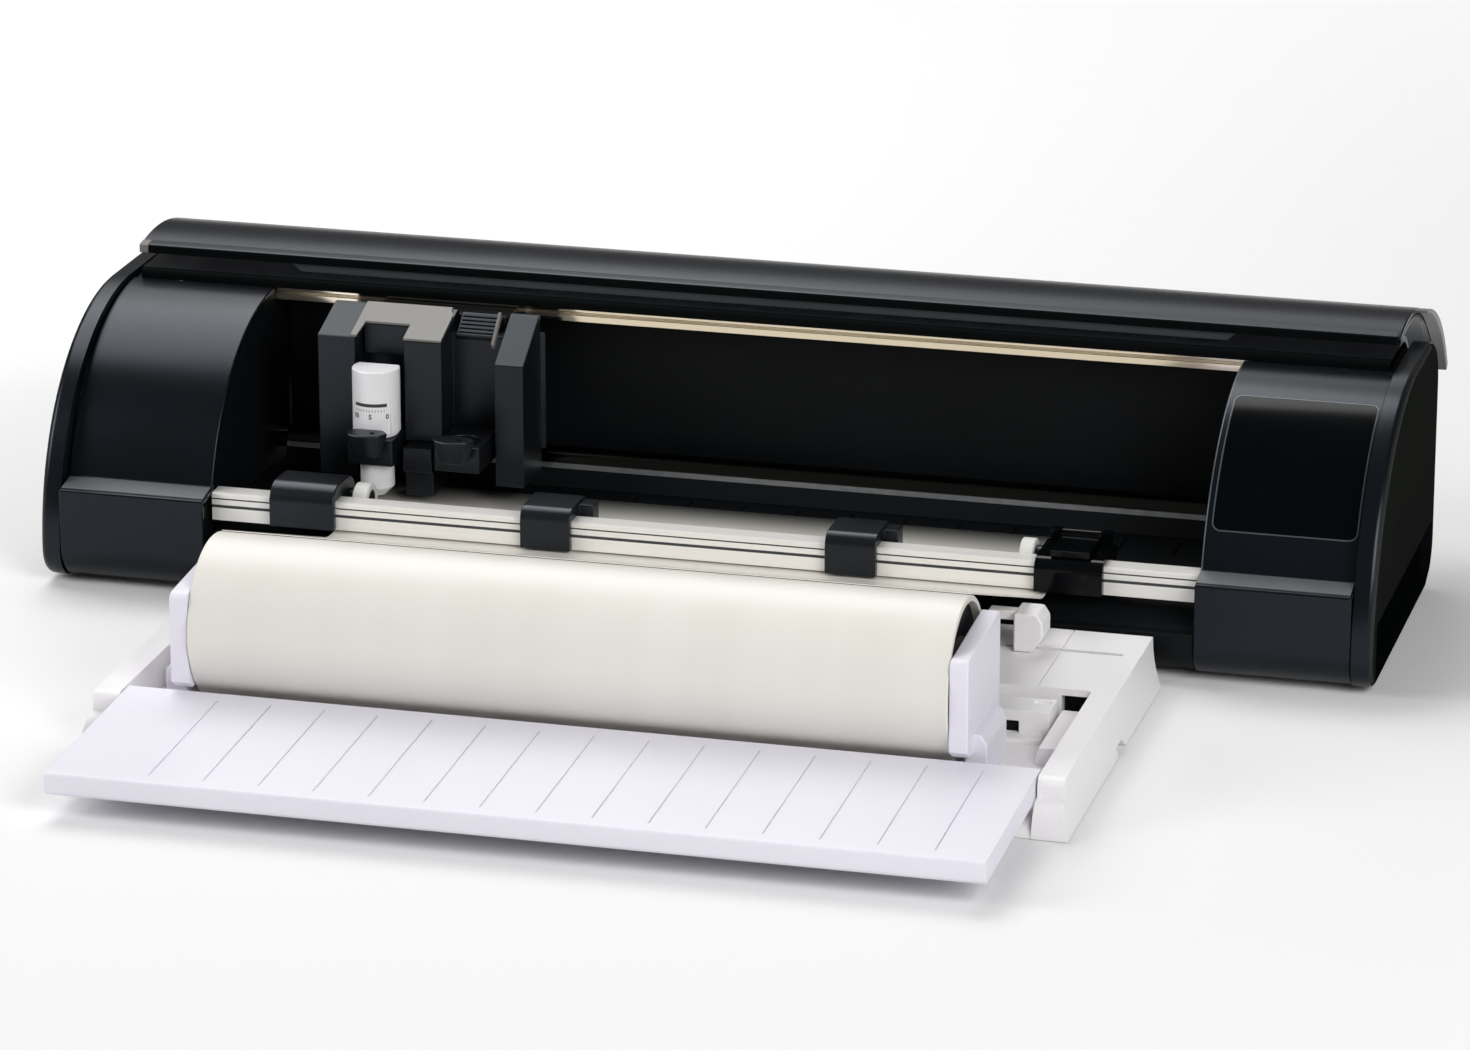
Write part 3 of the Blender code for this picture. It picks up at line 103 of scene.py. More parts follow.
def finishOf(name, recipe):
    # cloudy tone and a fine grain over the whole moulding
    material, tree, shader = freshMaterial(name)
    where = addNode(tree, "ShaderNodeTexCoord").outputs["Object"]
    grainSize, *grainRelief = recipe["grain"]
    noises = []
    for size, detail in ((recipe["cloud"], 3.0), (grainSize, 2.0)):
        scale = [k / (size * mm) for k in recipe.get("stretch", (1, 1, 1))]
        scaled = addNode(tree, "ShaderNodeMapping", {"Scale": scale}, {"Vector": where})
        noises.append(addNode(tree, "ShaderNodeTexNoise", {"Scale": 1.0, "Detail": detail}, {"Vector": scaled}))
    cloud, grain = noises
    least, most = recipe["rough"]
    specular = recipe.get("specular", 0.5)
    wire(tree, shader, {
        "Metallic": recipe.get("metallic", 0.0), "IOR": 1.5, "Specular IOR Level": specular,
        "Specular Tint": linear(recipe.get("tint", "#ffffff")),
    }, {
        "Base Color": mixed(tree, *recipe["tone"], cloud),
        "Roughness": addNode(tree, "ShaderNodeMapRange", {"To Min": least, "To Max": most}, {"Value": cloud}),
        "Normal": relief(tree, *grainRelief, grain),
    })
    if "fade" in recipe:
        # etched plastic loses its mirror at a grazing look
        facing = addNode(tree, "ShaderNodeLayerWeight", {"Blend": 0.5}).outputs["Facing"]
        start, end = recipe["fade"]
        gloss = addNode(tree, "ShaderNodeMapRange", {
            "From Min": start, "From Max": end, "To Min": specular, "To Max": 0.0}, {"Value": facing})
        wire(tree, shader, {}, {"Specular IOR Level": gloss})
    return material


# tone is the darkest and the lightest, cloud the size of the patches between them,
# and grain the size and height of the surface's relief and how strongly it shows; sizes are in mm
finishes = {
    # polished moulded ABS: nearly black, a soft mirror with a slight orange-peel swell (30 mm)
    "glossAbs": {"tone": ("#05080b", "#090d12"), "cloud": 90, "grain": (30, 0.02, 0.05), "rough": (0.24, 0.30),
                 "specular": 0.33, "tint": "#e6f0ff"},
    # etched ABS of the end panels: a deep, quiet black; 0.3 mm etch, drawn at 1.0 mm
    "etchedAbs": {"tone": ("#171918", "#20221f"), "cloud": 70, "grain": (1.0, 0.03, 0.1), "rough": (0.42, 0.52),
                  "specular": 0.35, "fade": (0.3, 0.78)},
    # grey satin of the lid's end bands; on the ledge strips the same grey is a painted reflection, and in the front
    # bar's grooves painted shade
    "greyLacquer": {"tone": ("#515356", "#5f6164"), "cloud": 30, "grain": (0.9, 0.02, 0.08), "rough": (0.3, 0.4)},
    # spark-eroded ABS: dark with a broad dull sheen; 0.3 mm grit, drawn at 0.9 mm to show
    "satinAbs": {"tone": ("#0b0d0f", "#121518"), "cloud": 60, "grain": (0.9, 0.03, 0.12), "rough": (0.28, 0.36),
                 "specular": 0.42, "tint": "#e6f0ff"},
    # ribbed structural ABS inside the bay: swallows light; also the dark blocks of painted shade behind the bar's
    # windows and in the bay's pockets; 0.4 mm grit, drawn at 1.2 mm
    "matteAbs": {"tone": ("#07090b", "#0b0e11"), "cloud": 80, "grain": (1.2, 0.04, 0.12), "rough": (0.45, 0.6),
                 "specular": 0.14},
    # painted shade: a darker, sheenless black for the lips above the bay, the hand recesses and the lid lip's
    # down-facing front, where shade falls; 0.4 mm grit, drawn at 1.2 mm
    "paintedShadeAbs": {"tone": ("#040506", "#07090a"), "cloud": 80, "grain": (1.2, 0.04, 0.1), "rough": (0.55, 0.7),
                "specular": 0.04, "fade": (0.2, 0.6)},
    # piano-black ABS of the right pinch unit: deep black with crisp edge glints
    "pianoAbs": {"tone": ("#020304", "#050709"), "cloud": 40, "grain": (20, 0.01, 0.03), "rough": (0.1, 0.16),
                 "specular": 0.2},
    # dark slate: the grip's lining, the slot's liner as painted shade, and the outer pillars' up-facing roofs as
    # painted light; 0.3 mm grit, drawn at 0.9 mm
    "slateAbs": {"tone": ("#32373b", "#3f4448"), "cloud": 60, "grain": (0.9, 0.03, 0.1), "rough": (0.4, 0.5),
                 "specular": 0.25},
    # black back-painted touch glass: very flat and dark
    "touchGlass": {"tone": ("#020304", "#040608"), "cloud": 60, "grain": (40, 0.01, 0.02), "rough": (0.12, 0.16),
                   "specular": 0.14},
    # printed edge of the glass, and a painted highlight along the right cover's inner edge: a thin grey line
    "edgeLine": {"tone": ("#3a3f44", "#4a5055"), "cloud": 10, "grain": (2, 0.01, 0.03), "rough": (0.25, 0.35)},
    # white ABS of the feeder: chalky and soft; 0.4 mm grit, drawn at 1.1 mm
    "whiteAbs": {"tone": ("#eae8e9", "#f2f0f1"), "cloud": 120, "grain": (1.1, 0.02, 0.08), "rough": (0.38, 0.5)},
    # the same with a faint lilac, for the guides and the flap
    "lilacAbs": {"tone": ("#e0dee8", "#e9e7f0"), "cloud": 120, "grain": (1.1, 0.02, 0.08), "rough": (0.36, 0.48)},
    # acetal of the tool and the drive gear: bright, dense white with a waxy gloss
    "whiteAcetal": {"tone": ("#e4e3e6", "#eeedf0"), "cloud": 25, "grain": (1.5, 0.01, 0.04), "rough": (0.28, 0.36)},
    # polyurethane tyre: warm white and dull
    "whiteTyre": {"tone": ("#cfcecb", "#dddcd9"), "cloud": 8, "grain": (0.8, 0.03, 0.15), "rough": (0.5, 0.65)},
    # vinyl film on silicone paper: warm white with faint winding bands round the roll
    "vinylFilm": {"tone": ("#dfdcd4", "#e8e5de"), "cloud": 30, "grain": (9, 0.02, 0.06), "rough": (0.32, 0.45),
                  "stretch": (1, 0.05, 0.05)},
    # grey-brown board of the core, dull and fibrous
    "coreBoard": {"tone": ("#3a3632", "#4b4640"), "cloud": 12, "grain": (1.0, 0.05, 0.25), "rough": (0.7, 0.85),
                  "stretch": (0.3, 1, 1)},
    # brushed anodised aluminium: long fine lines; 0.1 mm lines, drawn at 0.7 mm
    "brushedAluminium": {"tone": ("#e6e4df", "#f1efeb"), "cloud": 2.0, "grain": (0.7, 0.01, 0.08),
                         "rough": (0.26, 0.38), "metallic": 0.25, "stretch": (0.01, 1, 1)},
    # gold-toned drawn rail: warm, soft and bright
    "warmRail": {"tone": ("#f6e9d2", "#fdf2df"), "cloud": 3.0, "grain": (0.7, 0.01, 0.03), "rough": (0.10, 0.16),
                 "metallic": 1.0, "stretch": (0.01, 1, 1)},
    # ground steel roller: dark grey mirror with fine turning lines
    "groundSteel": {"tone": ("#33322f", "#3e3d38"), "cloud": 6.0, "grain": (0.8, 0.01, 0.05), "rough": (0.18, 0.25),
                    "metallic": 1.0, "stretch": (0.01, 1, 1)},
    # grit-blasted grip steel of the drive roller: rough and glittering
    "gritSteel": {"tone": ("#55544f", "#74736d"), "cloud": 2.0, "grain": (0.6, 0.08, 0.5), "rough": (0.45, 0.6),
                  "metallic": 1.0},
    # nitrile rubber of the belt and the jack: black and dead flat
    "nitrileRubber": {"tone": ("#131314", "#1b1b1c"), "cloud": 15, "grain": (0.8, 0.05, 0.3), "rough": (0.75, 0.9),
                      "specular": 0.3},
    # warm grey paint of the carriage's roof plate and blade: an even satin coat; on the lid lip's left end the same
    # grey is a painted highlight
    "warmGreyPaint": {"tone": ("#64615d", "#726f6b"), "cloud": 40, "grain": (0.8, 0.02, 0.1), "rough": (0.35, 0.45)},
    # print on the tool's scale: flat and nearly black
    "darkInk": {"tone": ("#2a2a2c", "#38383a"), "cloud": 4, "grain": (0.5, 0.01, 0.05), "rough": (0.5, 0.6)},
    # zinc plate of the motors, screws and small metal parts: a pale, slightly blotched metal; along the ramp's top edge
    # it is a painted highlight
    "zincSteel": {"tone": ("#8f9194", "#a6a8ab"), "cloud": 6, "grain": (0.8, 0.02, 0.12), "rough": (0.3, 0.45),
                  "metallic": 1.0},
}
finish = {name: finishOf(name, recipe) for name, recipe in finishes.items()}

# the wound end of the roll: 0.3 mm layers, drawn at 1.1 mm so that they show
rollAxis = (-170, 55)  # y and z
waveRings = 3.18  # rings in one unit of a wave texture at scale 1
rollEnd = {"layer": 1.1, "gap": "#b9b6ae", "paper": "#e6e3dc", "rough": 0.7, "relief": (0.2, 0.3)}
finish["woundEnd"], tree, shader = freshMaterial("woundEnd")
where = addNode(tree, "ShaderNodeTexCoord").outputs["Object"]
centred = addNode(tree, "ShaderNodeMapping", {"vector_type": "POINT", "Location": -at(0, *rollAxis)}, {"Vector": where})
layers = addNode(tree, "ShaderNodeTexWave", {
    "wave_type": "RINGS", "rings_direction": "X", "Scale": 1 / (rollEnd["layer"] * mm) / waveRings,
    "Distortion": 1.5, "Detail": 2.0, "Detail Scale": 0.4}, {"Vector": centred}).outputs[1]
wire(tree, shader, {"Roughness": rollEnd["rough"]}, {
    "Base Color": mixed(tree, rollEnd["gap"], rollEnd["paper"], layers),
    "Normal": relief(tree, *rollEnd["relief"], layers)})

# the sheet in the bay: the same film, glossier, with painted shade and reflection: its colour runs from the film's
# white to dark grey towards its back end, where the black bay shades it and shows in it
sheet = {"white": "#e3e0d8", "deep": "#2a2b2a", "brightY": 56, "deepY": 104, "band": 14, "rough": 0.24,
         "relief": (0.2, 0.06)}
finish["filmSheet"], tree, shader = freshMaterial("filmSheet")
where = addNode(tree, "ShaderNodeTexCoord").outputs["Object"]
depth = addNode(tree, "ShaderNodeSeparateXYZ", {}, {0: where}).outputs["Y"]
paintedShadeShare = addNode(tree, "ShaderNodeMapRange", {
    "interpolation_type": "SMOOTHSTEP", "From Min": at(0, sheet["brightY"], 0).y,
    "From Max": at(0, sheet["deepY"], 0).y}, {"Value": depth})
bands = addNode(tree, "ShaderNodeTexNoise", {"Scale": 1 / (sheet["band"] * mm)}, {"Vector": where})
wire(tree, shader, {"Roughness": sheet["rough"]}, {
    "Base Color": mixed(tree, sheet["white"], sheet["deep"], paintedShadeShare), "Normal": relief(tree, *sheet["relief"], bands)})
print("materials made:", len(finish))


def span(side, near, far):
    # a stretch along x at the left (-1) or the right (1) of the machine
    return sorted((side * near, side * far))


def lifted(a, b, along, height):
    # a place in the plane of two axes, and its height along the third, as x, y and z
    spot = [a, b]
    spot.insert("xyz".index(along), height)
    return spot


def skin(bm, rings):
    # faces from ring to ring; a ring of one vertex is a tip
    for one, two in zip(rings, rings[1:]):
        count = max(len(one), len(two))
        for k in range(count if count > 1 else 0):
            j = (k + 1) % count
            corners = (one[k % len(one)], one[j % len(one)], two[j % len(two)], two[k % len(two)])
            bm.faces.new(list(dict.fromkeys(corners)))


def outward(bm):
    bmesh.ops.recalc_face_normals(bm, faces=bm.faces)
    return bm


def prism(outline, along, low, high):
    # a closed outline in the two other axes, drawn out along one
    bm = bmesh.new()
    rings = [[bm.verts.new(at(*lifted(a, b, along, h))) for a, b in outline] for h in (low, high)]
    for ring in rings:
        bm.faces.new(ring)
    skin(bm, rings)
    return outward(bm)


def oblong(a0, a1, b0, b1):
    return [(a0, b0), (a1, b0), (a1, b1), (a0, b1)]


def block(x, y, z):
    return prism(oblong(*x, *y), "z", *z)


def pairOf(x, y, z):
    # two blocks, one at each side
    return [block(span(side, *x), y, z) for side in (-1, 1)]


def rounded(corners, steps):
    # corners are (a, b) or (a, b, radius); a radius becomes an arc
    result = []
    for i, corner in enumerate(corners):
        here = Vector(corner[:2])
        if len(corner) < 3:
            result.append(tuple(here))
            continue
        before = (Vector(corners[i - 1][:2]) - here).normalized()
        after = (Vector(corners[(i + 1) % len(corners)][:2]) - here).normalized()
        half = before.angle(after) / 2
        reach = corner[2] * cos(half) / sin(half)
        middle = here + (before + after).normalized() * (corner[2] / sin(half))
        first = here + before * reach - middle
        turn = first.angle_signed(here + after * reach - middle)
        for k in range(steps + 1):
            a = -turn * k / steps
            result.append((middle.x + first.x * cos(a) - first.y * sin(a),
                           middle.y + first.x * sin(a) + first.y * cos(a)))
    return result


def arcOf(centre, radius, start, end, steps):
    # angles in degrees from straight up, towards the back
    turns = [radians(start + (end - start) * k / steps) for k in range(steps + 1)]
    return [(centre[0] + radius * sin(a), centre[1] + radius * cos(a)) for a in turns]


def turned(bm, angle, axis, pivot):
    # turn a shape made round the datum, then carry it to its pivot
    spin = Matrix.Rotation(radians(angle), 4, axis) @ Matrix.Translation(-at(0, 0, 0))
    bmesh.ops.transform(bm, matrix=Matrix.Translation(at(*pivot)) @ spin, verts=bm.verts)
    return bm


def lathe(profile, centre, axis, steps, closed=False):
    # profile is (radius, along) in mm about an axis through centre; radius 0 closes at the axis
    bm = bmesh.new()
    rings = []
    for radius, along in profile:
        turns = [2 * pi * k / steps for k in range(steps if radius > 0 else 1)]
        spots = [lifted(radius * cos(a), radius * sin(a), axis, along) for a in turns]
        rings.append([bm.verts.new(at(*map(sum, zip(centre, spot)))) for spot in spots])
    skin(bm, rings + rings[:1] if closed else rings)
    return outward(bm)


def rimmed(bm, edges, width, segments):
    bmesh.ops.bevel(bm, geom=edges, offset=width * mm, segments=segments, profile=0.5, affect="EDGES",
                    clamp_overlap=True)
    return bm


def eased(bm, width, segments=2, angle=28):
    # a small moulded radius on every sharp edge
    sharp = [e for e in bm.edges if len(e.link_faces) == 2 and e.calc_face_angle() > radians(angle)]
    return rimmed(bm, sharp, width, segments) if sharp else bm


def painted(bm, rule):
    # rule picks a face's finish from its middle, in mm from the datum, and its normal
    for face in bm.faces:
        spot = face.calc_center_median()
        face.material_index = int(rule(spot.x / mm, (spot.y - frontY) / mm, spot.z / mm, face.normal))
    return bm


def shapeOf(mesh):
    bm = bmesh.new()
    bm.from_mesh(mesh)
    bmesh.ops.remove_doubles(bm, verts=bm.verts, dist=1e-6)
    bmesh.ops.dissolve_limit(bm, angle_limit=radians(0.4), verts=bm.verts, edges=bm.edges)
    return bm


def nodeCopy(node):
    return shapeOf(nodes[node].data)


def linked(name, data):
    thing = bpy.data.objects.new(name, data)
    scene.collection.objects.link(thing)
    return thing


def loose(bm, name):
    mesh = bpy.data.meshes.new(name)
    bm.to_mesh(mesh)
    bm.free()
    return linked(name, mesh)


def settled(piece):
    # whatever modifiers are on it become a plain mesh
    graph = bpy.context.evaluated_depsgraph_get()
    solid = piece.evaluated_get(graph)
    mesh = bpy.data.meshes.new_from_object(solid, preserve_all_data_layers=True, depsgraph=graph)
    old = piece.data
    piece.modifiers.clear()
    piece.data = mesh
    bpy.data.meshes.remove(old)
    mesh.name = piece.name
    return piece


def carved(bm, cutters, operation="DIFFERENCE"):
    piece = loose(bm, "carving")
    tools = [loose(c, "carver") for c in cutters]
    for tool in tools:
        step = piece.modifiers.new("carve", "BOOLEAN")
        step.operation = operation
        step.solver = "EXACT"
        step.object = tool
    result = shapeOf(settled(piece).data)
    for done in [piece] + tools:
        mesh = done.data
        bpy.data.objects.remove(done)
        bpy.data.meshes.remove(mesh)
    return result


def keep(bm, name, body, materials, replaced=(), angle=40):
    piece = bm if isinstance(bm, bpy.types.Object) else loose(bm, name)
    piece.name = name
    materials = [materials] if isinstance(materials, str) else materials
    faceSlots = [p.material_index for p in piece.data.polygons]
    piece.data.materials.clear()
    for material in materials:
        piece.data.materials.append(finish[material])
    if len(materials) > 1:
        piece.data.polygons.foreach_set("material_index", faceSlots)
    piece.data.shade_smooth()
    piece.data.set_sharp_from_angle(angle=radians(angle))
    weigh = piece.modifiers.new("weigh", "WEIGHTED_NORMAL")
    weigh.keep_sharp = True
    settled(piece)
    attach(piece, body)
    if replaced:
        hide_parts(*replaced)


def standIn(bm, node, materials, name=None, angle=40):
    # shown in place of a solid, under the solid's own name unless another is given
    first, *others = node.split("_")
    name = name or first + "".join(word.capitalize() for word in others)
    keep(bm, name, bodyOf[node], materials, [node], angle)


def nodesTree(name, inputs):
    # every tree takes a mesh, its own inputs and a finish, and gives a mesh
    tree = bpy.data.node_groups.new(name, "GeometryNodeTree")
    for label, kind in {"Geometry": "Geometry", **inputs, "Finish": "Material"}.items():
        tree.interface.new_socket(label, in_out="INPUT", socket_type="NodeSocket" + kind)
    tree.interface.new_socket("Geometry", in_out="OUTPUT", socket_type="NodeSocketGeometry")
    addNode(tree, "NodeGroupInput")
    return tree


def lineOf(tree):
    places = {"Count": "Count", "Start Location": "Start", "Offset": "Step"}
    return addNode(tree, "GeometryNodeMeshLine", {"mode": "OFFSET"}, places)


def copiesOn(tree, points, shape, turn):
    copies = addNode(tree, "GeometryNodeInstanceOnPoints", {}, {"Points": points, "Instance": shape, "Rotation": turn})
    return addNode(tree, "GeometryNodeRealizeInstances", {}, {"Geometry": copies})


def closeTree(tree, mesh):
    coated = addNode(tree, "GeometryNodeSetMaterial", {}, {"Geometry": mesh, "Material": "Finish"})
    addNode(tree, "NodeGroupOutput", {}, {"Geometry": coated})


def grown(bm, name, tree, settings):
    piece = loose(bm, name)
    step = piece.modifiers.new(tree.name, "NODES")
    step.node_group = tree
    for item in tree.interface.items_tree:
        if item.in_out == "INPUT" and item.name in settings:
            step[item.identifier] = settings[item.name]
    return settled(piece)


cutAway = {"operation": "DIFFERENCE", "solver": "EXACT"}

# a row of slots cut into whatever mesh it is given
slotRow = nodesTree("slotRow", {"Count": "Int", "Start": "Vector", "Step": "Vector", "Size": "Vector",
                                "Turn": "Vector"})
slotCutter = addNode(slotRow, "GeometryNodeMeshCube", {}, {"Size": "Size"})
slotTurn = addNode(slotRow, "FunctionNodeEulerToRotation", {}, {"Euler": "Turn"})
slotSet = copiesOn(slotRow, lineOf(slotRow), slotCutter, slotTurn)
closeTree(slotRow, addNode(slotRow, "GeometryNodeMeshBoolean", cutAway, {"Mesh 1": "Geometry", "Mesh 2": slotSet}))

# round studs with a cross recess, set out in a row: screws
studRow = nodesTree("studRow", {"Count": "Int", "Start": "Vector", "Step": "Vector", "Radius": "Float",
                                "Depth": "Float", "Recess": "Float", "Turn": "Vector"})
studBody = addNode(studRow, "GeometryNodeMeshCylinder", {"Vertices": 28}, {"Radius": "Radius", "Depth": "Depth"})
studCross = addNode(studRow, "GeometryNodeMeshBoolean", cutAway, {"Mesh 1": studBody})
studUp = addNode(studRow, "ShaderNodeCombineXYZ", {}, {2: "Depth"})
studLift = addNode(studRow, "ShaderNodeVectorMath", {"operation": "SCALE", "Scale": 0.7}, {0: studUp})
for across, along in (("Radius", "Recess"), ("Recess", "Radius")):
    barSize = addNode(studRow, "ShaderNodeCombineXYZ", {}, {0: across, 1: along, 2: "Depth"})
    studBar = addNode(studRow, "GeometryNodeMeshCube", {}, {"Size": barSize})
    raised = addNode(studRow, "GeometryNodeTransform", {}, {"Geometry": studBar, "Translation": studLift})
    wire(studRow, studCross, {}, {"Mesh 2": raised})
studTurn = addNode(studRow, "FunctionNodeEulerToRotation", {}, {"Euler": "Turn"})
closeTree(studRow, copiesOn(studRow, lineOf(studRow), studCross, studTurn))

# short marks round an arc, standing on it: the tool's depth scale
markArc = nodesTree("markArc", {"Count": "Int", "Radius": "Float", "From": "Float", "Sweep": "Float",
                                "Mark": "Vector", "Place": "Vector"})
markCurve = addNode(markArc, "GeometryNodeCurveArc", {"mode": "RADIUS", "Resolution": 64},
                    {"Radius": "Radius", "Start Angle": "From", "Sweep Angle": "Sweep"})
markSpots = addNode(markArc, "GeometryNodeCurveToPoints", {"mode": "COUNT"}, {"Curve": markCurve, "Count": "Count"})
markShape = addNode(markArc, "GeometryNodeMeshCube", {}, {"Size": "Mark"})
markTurn = addNode(markArc, "FunctionNodeAlignRotationToVector", {"axis": "X"},
                   {"Vector": markSpots.outputs["Tangent"]})
markSet = copiesOn(markArc, markSpots, markShape, markTurn)
closeTree(markArc, addNode(markArc, "GeometryNodeTransform", {}, {"Geometry": markSet, "Translation": "Place"}))
print("node trees made")


def grooved(bm, name, count, start, step, size, look, turn=0.0):
    # a row of slots, in mm, cut into a shape; turn is about x, in radians
    step, size = (tuple(k * mm for k in group) for group in (step, size))
    return grown(bm, name, slotRow, {"Count": count, "Start": at(*start), "Step": step, "Size": size,
                                     "Turn": (turn, 0, 0), "Finish": finish[look]})


# mouldings whose shape is the solid's own, with eased edges: radius in mm, its steps, finish and slot
mouldings = {
    "lid_shell": (1.0, 3, "glossAbs", "gloss_black"),
    "back_wall": (0.3, 2, "matteAbs", "satin_black"),
    "cutting_strip": (0.2, 2, "matteAbs", "charcoal"),
    "media_clip_1": (0.7, 2, "satinAbs", "satin_black"),
    "media_clip_2": (0.7, 2, "satinAbs", "satin_black"),
    "right_pinch_housing": (0.9, 3, "pianoAbs", "satin_black"),
    "pinch_lever": (0.9, 3, "pianoAbs", "satin_black"),
    "tool_holder_1": (0.6, 2, "satinAbs", "satin_black"),
    "tool_holder_2": (0.6, 2, "satinAbs", "satin_black"),
    "sensor_housing": (0.7, 2, "satinAbs", "charcoal"),
    "tool_body": (0.5, 2, "whiteAcetal", "white"),
    "rear_roller": (0.4, 2, "groundSteel", "steel"),
    "drive_roller": (0.4, 2, "gritSteel", "steel"),
    "roll_core": (0.3, 2, "coreBoard", "core_board"),
}
for node, (edge, steps, look, slot) in mouldings.items():
    standIn(eased(nodeCopy(node), edge, steps), node, look)
print("mouldings eased:", len(mouldings))

# base tray: dull inside, satin where it shows at the back
tray = {"edge": 0.6, "satinFrom": 186}
trayShape = painted(eased(nodeCopy("base_tray"), tray["edge"]), lambda x, y, z, normal: y > tray["satinFrom"])
standIn(trayShape, "base_tray", ["matteAbs", "satinAbs"])

# rear cover: a satin back, and a dead black lip of painted shade over the bay that stops short of the rail
rear = {"lipBack": 125.6, "lipLow": 131.5, "lipRaised": 2.6, "lipFinishTo": 145, "edge": 0.8}
rearShape = nodeCopy("rear_cover")
for v in rearShape.verts:
    if v.co.y < at(0, rear["lipBack"], 0).y and v.co.z < rear["lipLow"] * mm:
        v.co.z += rear["lipRaised"] * mm
rearShape = painted(eased(rearShape, rear["edge"]), lambda x, y, z, normal: y < rear["lipFinishTo"])
standIn(rearShape, "rear_cover", ["satinAbs", "paintedShadeAbs"])

# cross-head screws in the rear cover's bosses
screws = {"count": 6, "reach": 315, "y": 192.9, "z": 72.5, "radius": 2.0, "depth": 1.2, "recess": 0.7}
screwPiece = grown(bmesh.new(), "coverScrews", studRow, {
    "Count": screws["count"], "Start": at(-screws["reach"], screws["y"], screws["z"]),
    "Step": (2 * screws["reach"] / (screws["count"] - 1) * mm, 0, 0), "Radius": screws["radius"] * mm,
    "Depth": screws["depth"] * mm, "Recess": screws["recess"] * mm, "Turn": (radians(-90), 0, 0),
    "Finish": finish["zincSteel"]})
keep(screwPiece, "coverScrews", "machine", "zincSteel")

# dark ramp that lifts the sheet to the exit roller; its top edge in pale zinc is a painted highlight, the line of light
# along the roller
endOn = 0.5  # a normal's x above which a face is an end of its piece
ramp = {"half": 255, "edgeFrom": 47.2,
        "path": [(118.4, 36.9), (119.8, 36.9), (123.2, 48.2), (123.2, 49.0), (122.2, 49.0), (121.4, 46.4)]}
rampShape = painted(prism(ramp["path"], "x", -ramp["half"], ramp["half"]),
                    lambda x, y, z, normal: z > ramp["edgeFrom"] and abs(normal.x) < endOn)
keep(rampShape, "exitRamp", "machine", ["matteAbs", "zincSteel"])

# front bar: an extrusion with a broad and a fine groove along its face, the grooves darker grey as painted shade
bar = {"half": 259.7, "edge": 0.12, "grooveY": (14.05, 15.5), "grooveZ": (45, 51.2),
       "path": [(14, 38.85), (14, 45.7), (15.4, 46.0), (15.4, 46.9), (14, 47.2), (14, 50.1), (14.7, 50.3), (14.7, 50.6),
                (14, 50.8), (14, 52.65), (15, 53.65), (25, 53.65), (26, 52.65), (26, 38.85)]}


def inGroove(x, y, z, normal):
    (y0, y1), (z0, z1) = bar["grooveY"], bar["grooveZ"]
    return y0 < y < y1 and z0 < z < z1 and abs(normal.x) < endOn


barShape = painted(eased(prism(bar["path"], "x", -bar["half"], bar["half"]), bar["edge"], 2, 50), inGroove)
standIn(barShape, "front_bar", ["brushedAluminium", "greyLacquer"], angle=25)

# parts inside the case, and the sheet, stay as the solids are, with their own finish
inside = {
    "matteAbs": ["left_side_frame", "right_side_frame", "left_bulkhead", "right_bulkhead"],
    "zincSteel": ["feed_motor", "carriage_motor", "feed_pinion", "belt_drive_pulley", "belt_idler_pulley",
                  "idler_bracket", "data_port"],
    "nitrileRubber": ["carriage_belt", "power_jack"], "whiteAcetal": ["drive_gear"], "filmSheet": ["media_web"],
}
for look, group in inside.items():
    for node in group:
        nodes[node].data.materials.clear()
        nodes[node].data.materials.append(finish[look])
print("inner parts finished:", sum(map(len, inside.values())))

# covers: a ribbon of wall from the toe over the ledge to the top, right up to the end panels
covers = {"inner": 260, "outer": 338.9, "arc": (122, 23.5), "radius": 110.5, "wall": 3, "toe": (20, 22),
          "toeRadius": 20, "toeTurn": (-172, -90), "ledge": 52.7, "ledgeWall": 2.6, "start": -73.06,
          "innerStart": -74.5, "edge": 1.0, "lineFrom": 56, "lineBand": 1.2, "lineFacing": (0.25, 0.9)}
# a grey strip on the ledge in line with the front bar: a painted reflection of the light on the black chamfer there
strip = {"x": (260.6, 337.9), "path": [(2.4, 53.0), (14.6, 55.3), (14.6, 56.0), (2.4, 53.7)], "edge": 0.2}
ledge, wall = covers["ledge"], covers["wall"]
toeStart, toeEnd = covers["toeTurn"]
coverPath = arcOf(covers["toe"], covers["toeRadius"], toeStart, toeEnd, 10) + [(0, ledge)]
coverPath += arcOf(covers["arc"], covers["radius"], covers["start"], 0, 48)
coverPath += arcOf(covers["arc"], covers["radius"] - wall, 0, covers["innerStart"], 48)
coverPath += [(wall, ledge - covers["ledgeWall"])]
coverPath += arcOf(covers["toe"], covers["toeRadius"] - wall, toeEnd, toeStart, 10)


def onInnerEdge(x, y, z, normal):
    # painted highlight: the thin edge of the right cover beside the bay, given a grey line where it catches the light
    fromArc = Vector((y - covers["arc"][0], z - covers["arc"][1])).length
    least, most = covers["lineFacing"]
    onCorner = 0 < x < covers["inner"] + covers["edge"] and least < abs(normal.x) < most
    return onCorner and fromArc > covers["radius"] - covers["lineBand"] and z > covers["lineFrom"]


for side, name in sides:
    coverShape = eased(prism(coverPath, "x", *span(side, covers["inner"], covers["outer"])), covers["edge"], 3, 35)
    standIn(painted(coverShape, onInnerEdge), name + "_cover", ["glossAbs", "edgeLine"], angle=33)
    stripShape = prism(strip["path"], "x", *span(side, *strip["x"]))
    keep(eased(stripShape, strip["edge"]), name + "LedgeStrip", "machine", "greyLacquer")
